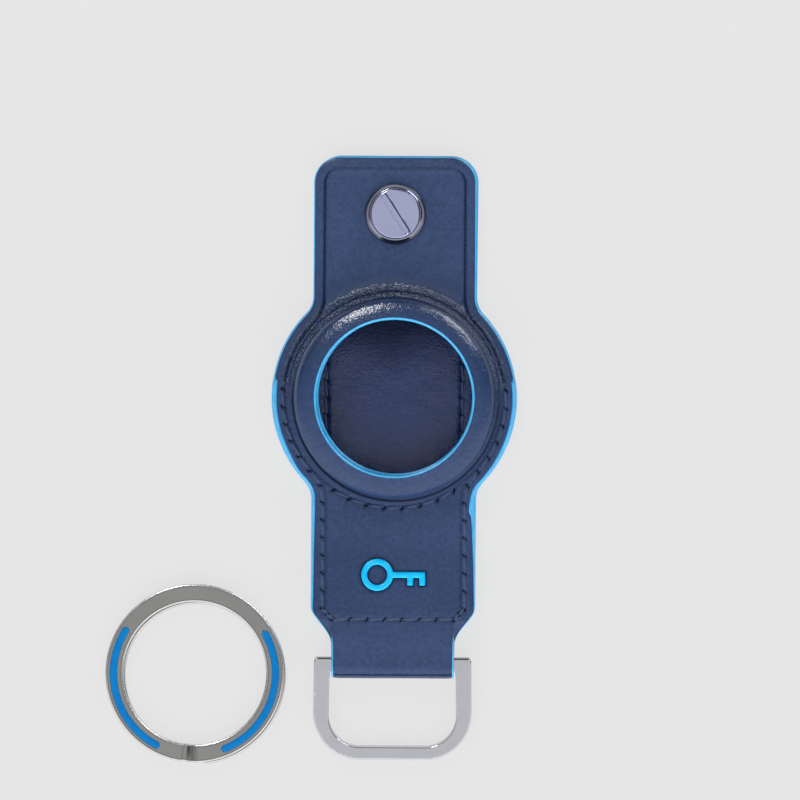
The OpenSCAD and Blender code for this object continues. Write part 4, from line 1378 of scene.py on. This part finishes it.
# Split ring: one flat wire in two turns, with rims and two grooves for the enamel. The wire's ends
# and the crossing are angles in degrees, and the rim is (inset, height) pairs of one side
WIRE_W = 3.25
WIRE_T = 1.2
TURN_GAP = 0.06
KEY_MID_R = KEY_R - WIRE_W / 2
LOWER_END_A = 275.5
CROSS_LOW_A = 265.1
CROSS_HIGH_A = 273.0
UPPER_END_A = 261.6
LOWER_SHIFT = (0.3, -0.42)
SHIFT_SPAN_A = 60
WIRE_STEP_A = 0.75
FACE_Z = WIRE_T - 0.01
RIM = [(0.12, 0.03), (0.02, 0.16), (0, 0.4), (0, WIRE_T - 0.32), (0.05, WIRE_T - 0.12), (0.17, FACE_Z),
       (0.32, WIRE_T), (0.37, WIRE_T - 0.07), (0.45, WIRE_T - 0.07), (0.5, FACE_Z)]
BRIGHT_RIM = 7
ENAMEL_R = KEY_MID_R + 0.12
ENAMEL_W = 1.3
ENAMEL_D = 0.26
ENAMEL_GAP = 0.02
ENAMEL_STEPS = 149
GROOVE_HALF_MIN = 0.05
GROOVE_SLOPE = 0.03
ENAMEL_ARCS = {"enamel_left": (148.4, 242.2), "enamel_right": (-67.5, 29.3)}
DOME = [(-1.0, 0.0), (-1.0, 0.8), (-0.86, 0.97), (-0.5, 1.05), (0.0, 1.08), (0.5, 1.05), (0.86, 0.97),
        (1.0, 0.8), (1.0, 0.0)]


def enamel_width(angle):
    """Half width of the enamel groove at an angle, rounded at its ends."""
    out = np.zeros(len(angle))
    for a, b in ENAMEL_ARCS.values():
        middle, half = (a + b) / 2, (b - a) / 2
        off = np.abs((angle - middle + 180) % 360 - 180)
        beyond = np.radians(np.maximum(off - half, 0)) * ENAMEL_R
        reach = np.sqrt(np.maximum((ENAMEL_W / 2) ** 2 - beyond ** 2, 0))
        out = np.maximum(out, np.where(off <= half, ENAMEL_W / 2, reach))
    return out


def wire_section(half_groove):
    """Section of the wire, with an enamel groove where it is wide enough."""
    half = WIRE_W / 2
    bottom_z = FACE_Z - (ENAMEL_D if half_groove > GROOVE_HALF_MIN else 0)
    g = max(half_groove, GROOVE_HALF_MIN)
    c = ENAMEL_R - KEY_MID_R
    groove = [(c - g - GROOVE_SLOPE, FACE_Z), (c - g, bottom_z), (c + g, bottom_z),
              (c + g + GROOVE_SLOPE, FACE_Z)]
    return ([(-half + u, z) for u, z in RIM] + groove
            + [(half - u, z) for u, z in reversed(RIM)] + [(0, 0.02)])


def key_wire():
    low, high = CROSS_LOW_A + 360, CROSS_HIGH_A + 360
    angles = np.arange(LOWER_END_A, UPPER_END_A + 720.01, WIRE_STEP_A)
    turn = np.radians(angles)
    shift = 1 - ramp(angles, low - SHIFT_SPAN_A, low)
    line = np.column_stack([KEY_CENTRE[0] + KEY_MID_R * np.cos(turn) + LOWER_SHIFT[0] * shift,
                            KEY_CENTRE[1] + KEY_MID_R * np.sin(turn) + LOWER_SHIFT[1] * shift,
                            (WIRE_T + TURN_GAP) * ramp(angles, low, high)])
    sections = [wire_section(groove) for groove in enamel_width(angles) * (angles > high + 1)]
    verts, faces = swept(line, sections)
    place = np.arange(len(verts)) % len(sections[0])
    bright = (place < BRIGHT_RIM) | (place > len(sections[0]) - 2 - BRIGHT_RIM)
    return new_piece("key_wire", verts, faces, {"edge": bright})


dress(key_wire(), RING_STEEL, "key_ring", "split_ring")

def enamel_fill(name, a, b):
    """Domed enamel in its groove, from the angle a to b."""
    reach = degrees(ENAMEL_W / 2 / ENAMEL_R) * 0.98
    widths = enamel_width(np.linspace(a - reach, b + reach, ENAMEL_STEPS + 1)) - ENAMEL_GAP
    sections = [[(u * max(w, 0.03), v * (ENAMEL_D - ENAMEL_GAP)) for u, v in DOME] for w in widths]
    path = arc(KEY_CENTRE, ENAMEL_R, a - reach, b + reach, ENAMEL_STEPS)
    return new_piece(name + "_fill", *swept(at_height(path, 2 * WIRE_T + TURN_GAP - ENAMEL_D), sections))


for name, ends in ENAMEL_ARCS.items():
    dress(enamel_fill(name, *ends), RING_ENAMEL, "key_ring", name)

# Key sign on the lower strap
SIGN_WALL = [(0.34, 1, 0), (0.2, 1, -0.035), (0.09, 1, -0.1), (0.02, 1, -0.2), (0, 1, -0.3), (0, 0, 0.05),
             (0.34, 0, 0)]
sign = sheet_mesh("key_sign", sign_points, SIGN_WALL, [(resampled(SIGN_EDGES[1], 0.2, True), SIGN_WALL)],
                  flat(SIGN_HIGH[2]), flat(SIGN_LOW[2] - 0.08), 0.15, (), lifted)
dress(sign, BADGE_ENAMEL, "holder", "badge")

# Floor, light and camera
FLOOR_HALF = 3000
FLOOR_Z = -0.02
floor_corners = [(-FLOOR_HALF, -FLOOR_HALF), (FLOOR_HALF, -FLOOR_HALF), (FLOOR_HALF, FLOOR_HALF),
                 (-FLOOR_HALF, FLOOR_HALF)]
floor = new_piece("floor", at_height(floor_corners, FLOOR_Z), [(0, 1, 2, 3)])

BACKGROUND = 0.79
LIT_FLOOR = 0.66
SHADOW_SHARE = 0.12


def seen_ray(tree):
    """1 for rays from the camera, from gloss and through glass."""
    rays = add_node(tree, "ShaderNodeLightPath")
    return maths(tree, "MAXIMUM", rays.outputs["Is Camera Ray"],
                 maths(tree, "MAXIMUM", rays.outputs["Is Glossy Ray"], rays.outputs["Is Transmission Ray"]))


def floor_material():
    """The background's colour with a faint shadow where it is seen, and a lit floor to all other rays."""
    material = bpy.data.materials.new("floor")
    tree = tree_of(material)
    lit = add_node(tree, "ShaderNodeBsdfDiffuse", Color=rgb(LIT_FLOOR, LIT_FLOOR, LIT_FLOOR))
    glow = add_node(tree, "ShaderNodeEmission", Color=rgb(BACKGROUND, BACKGROUND, BACKGROUND), Strength=1.0)
    shadowed = add_node(tree, "ShaderNodeMixShader", i0=SHADOW_SHARE, i1=glow.outputs[0], i2=lit.outputs[0])
    plain = add_node(tree, "ShaderNodeMixShader", i0=seen_ray(tree), i1=lit.outputs[0],
                     i2=shadowed.outputs[0])
    finished(tree, plain.outputs[0])
    return material


floor.data.materials.append(floor_material())

ZENITH = 0.8
FRONT_LIGHT = 1.3
FRONT_FILL = 2.6
LEFT_LIGHT = 0.3
DARK_SIDE = 0.03


def studio_world():
    """Light from above, from the front and a little from the left, round a plain background."""
    world = bpy.data.worlds.new("studio")
    tree = tree_of(world)
    place = add_node(tree, "ShaderNodeTexCoord").outputs["Generated"]
    way = add_node(tree, "ShaderNodeSeparateXYZ", Vector=place).outputs
    rays = add_node(tree, "ShaderNodeLightPath").outputs
    from_front = ramp_out(tree, times(tree, way["Y"], -1.0), 0.05, 0.32)
    from_left = ramp_out(tree, times(tree, way["X"], -1.0), 0.15, 0.6, DARK_SIDE, LEFT_LIGHT)
    front_level = ramp_out(tree, rays["Is Diffuse Ray"], 0.0, 1.0, FRONT_LIGHT, FRONT_FILL)
    around = maths(tree, "MAXIMUM", times(tree, from_front, front_level),
                   times(tree, from_left, ramp_out(tree, way["Z"], 0.35, 0.6)))
    overhead = ramp_out(tree, way["Z"], 0.88, 0.975)
    studio = maths(tree, "ADD", times(tree, overhead, ZENITH),
                   times(tree, maths(tree, "SUBTRACT", 1.0, overhead), around))
    unseen = maths(tree, "SUBTRACT", 1.0, rays["Is Camera Ray"])
    strength = maths(tree, "ADD", times(tree, rays["Is Camera Ray"], BACKGROUND),
                     times(tree, unseen, studio))
    background = add_node(tree, "ShaderNodeBackground", Color=rgb(1, 1, 1), Strength=strength)
    finished(tree, background.outputs[0], "ShaderNodeOutputWorld")
    return world


bpy.context.scene.world = studio_world()


def softbox(name, azimuth, elevation, away, size, power, diffuse):
    """A square lamp that looks at the middle of the holder, seen in gloss or by diffuse rays alone."""
    lamp = bpy.data.lights.new(name, "AREA")
    lamp.shape = "RECTANGLE"
    lamp.size, lamp.size_y = size
    lamp.energy = power
    item = bpy.data.objects.new(name, lamp)
    a, e = radians(azimuth), radians(elevation)
    way = Vector((cos(e) * cos(a), cos(e) * sin(a), sin(e)))
    item.location = way * away
    item.rotation_mode = "QUATERNION"
    item.rotation_quaternion = way.to_track_quat("Z", "Y")
    item.visible_diffuse = diffuse
    item.visible_glossy = not diffuse
    bpy.context.scene.collection.objects.link(item)


# Each lamp's azimuth, elevation, size, and power in gloss and by diffuse rays
LAMPS = {"left": (113, 40, (0.3, 0.36), 11.0, 6.5), "right": (50, 24, (0.72, 0.69), 12.0, 7.0)}
LAMP_AWAY = 1.5
for diffuse in (False, True):
    for side, (azimuth, elevation, size, *powers) in LAMPS.items():
        name = ("fill_" if diffuse else "gloss_") + side
        softbox(name, azimuth, elevation, LAMP_AWAY, size, powers[diffuse], diffuse)

CAMERA_HEIGHT = 700
FIELD = 145.5
SENSOR = 36
CAMERA_X, CAMERA_Y = 1.04, -0.4
TURN_A = 0.35


def top_camera():
    """A camera that looks straight down, turned a little round its own axis."""
    data = bpy.data.cameras.new("camera")
    data.sensor_width = SENSOR
    data.lens = SENSOR * CAMERA_HEIGHT / FIELD
    data.clip_start = 0.01
    item = bpy.data.objects.new("camera", data)
    item.location = Vector((CAMERA_X, CAMERA_Y, CAMERA_HEIGHT)) * MM
    item.rotation_euler = (0, 0, radians(TURN_A))
    bpy.context.scene.collection.objects.link(item)
    return item


bpy.context.scene.camera = top_camera()
bpy.context.scene.view_settings.view_transform = "Standard"
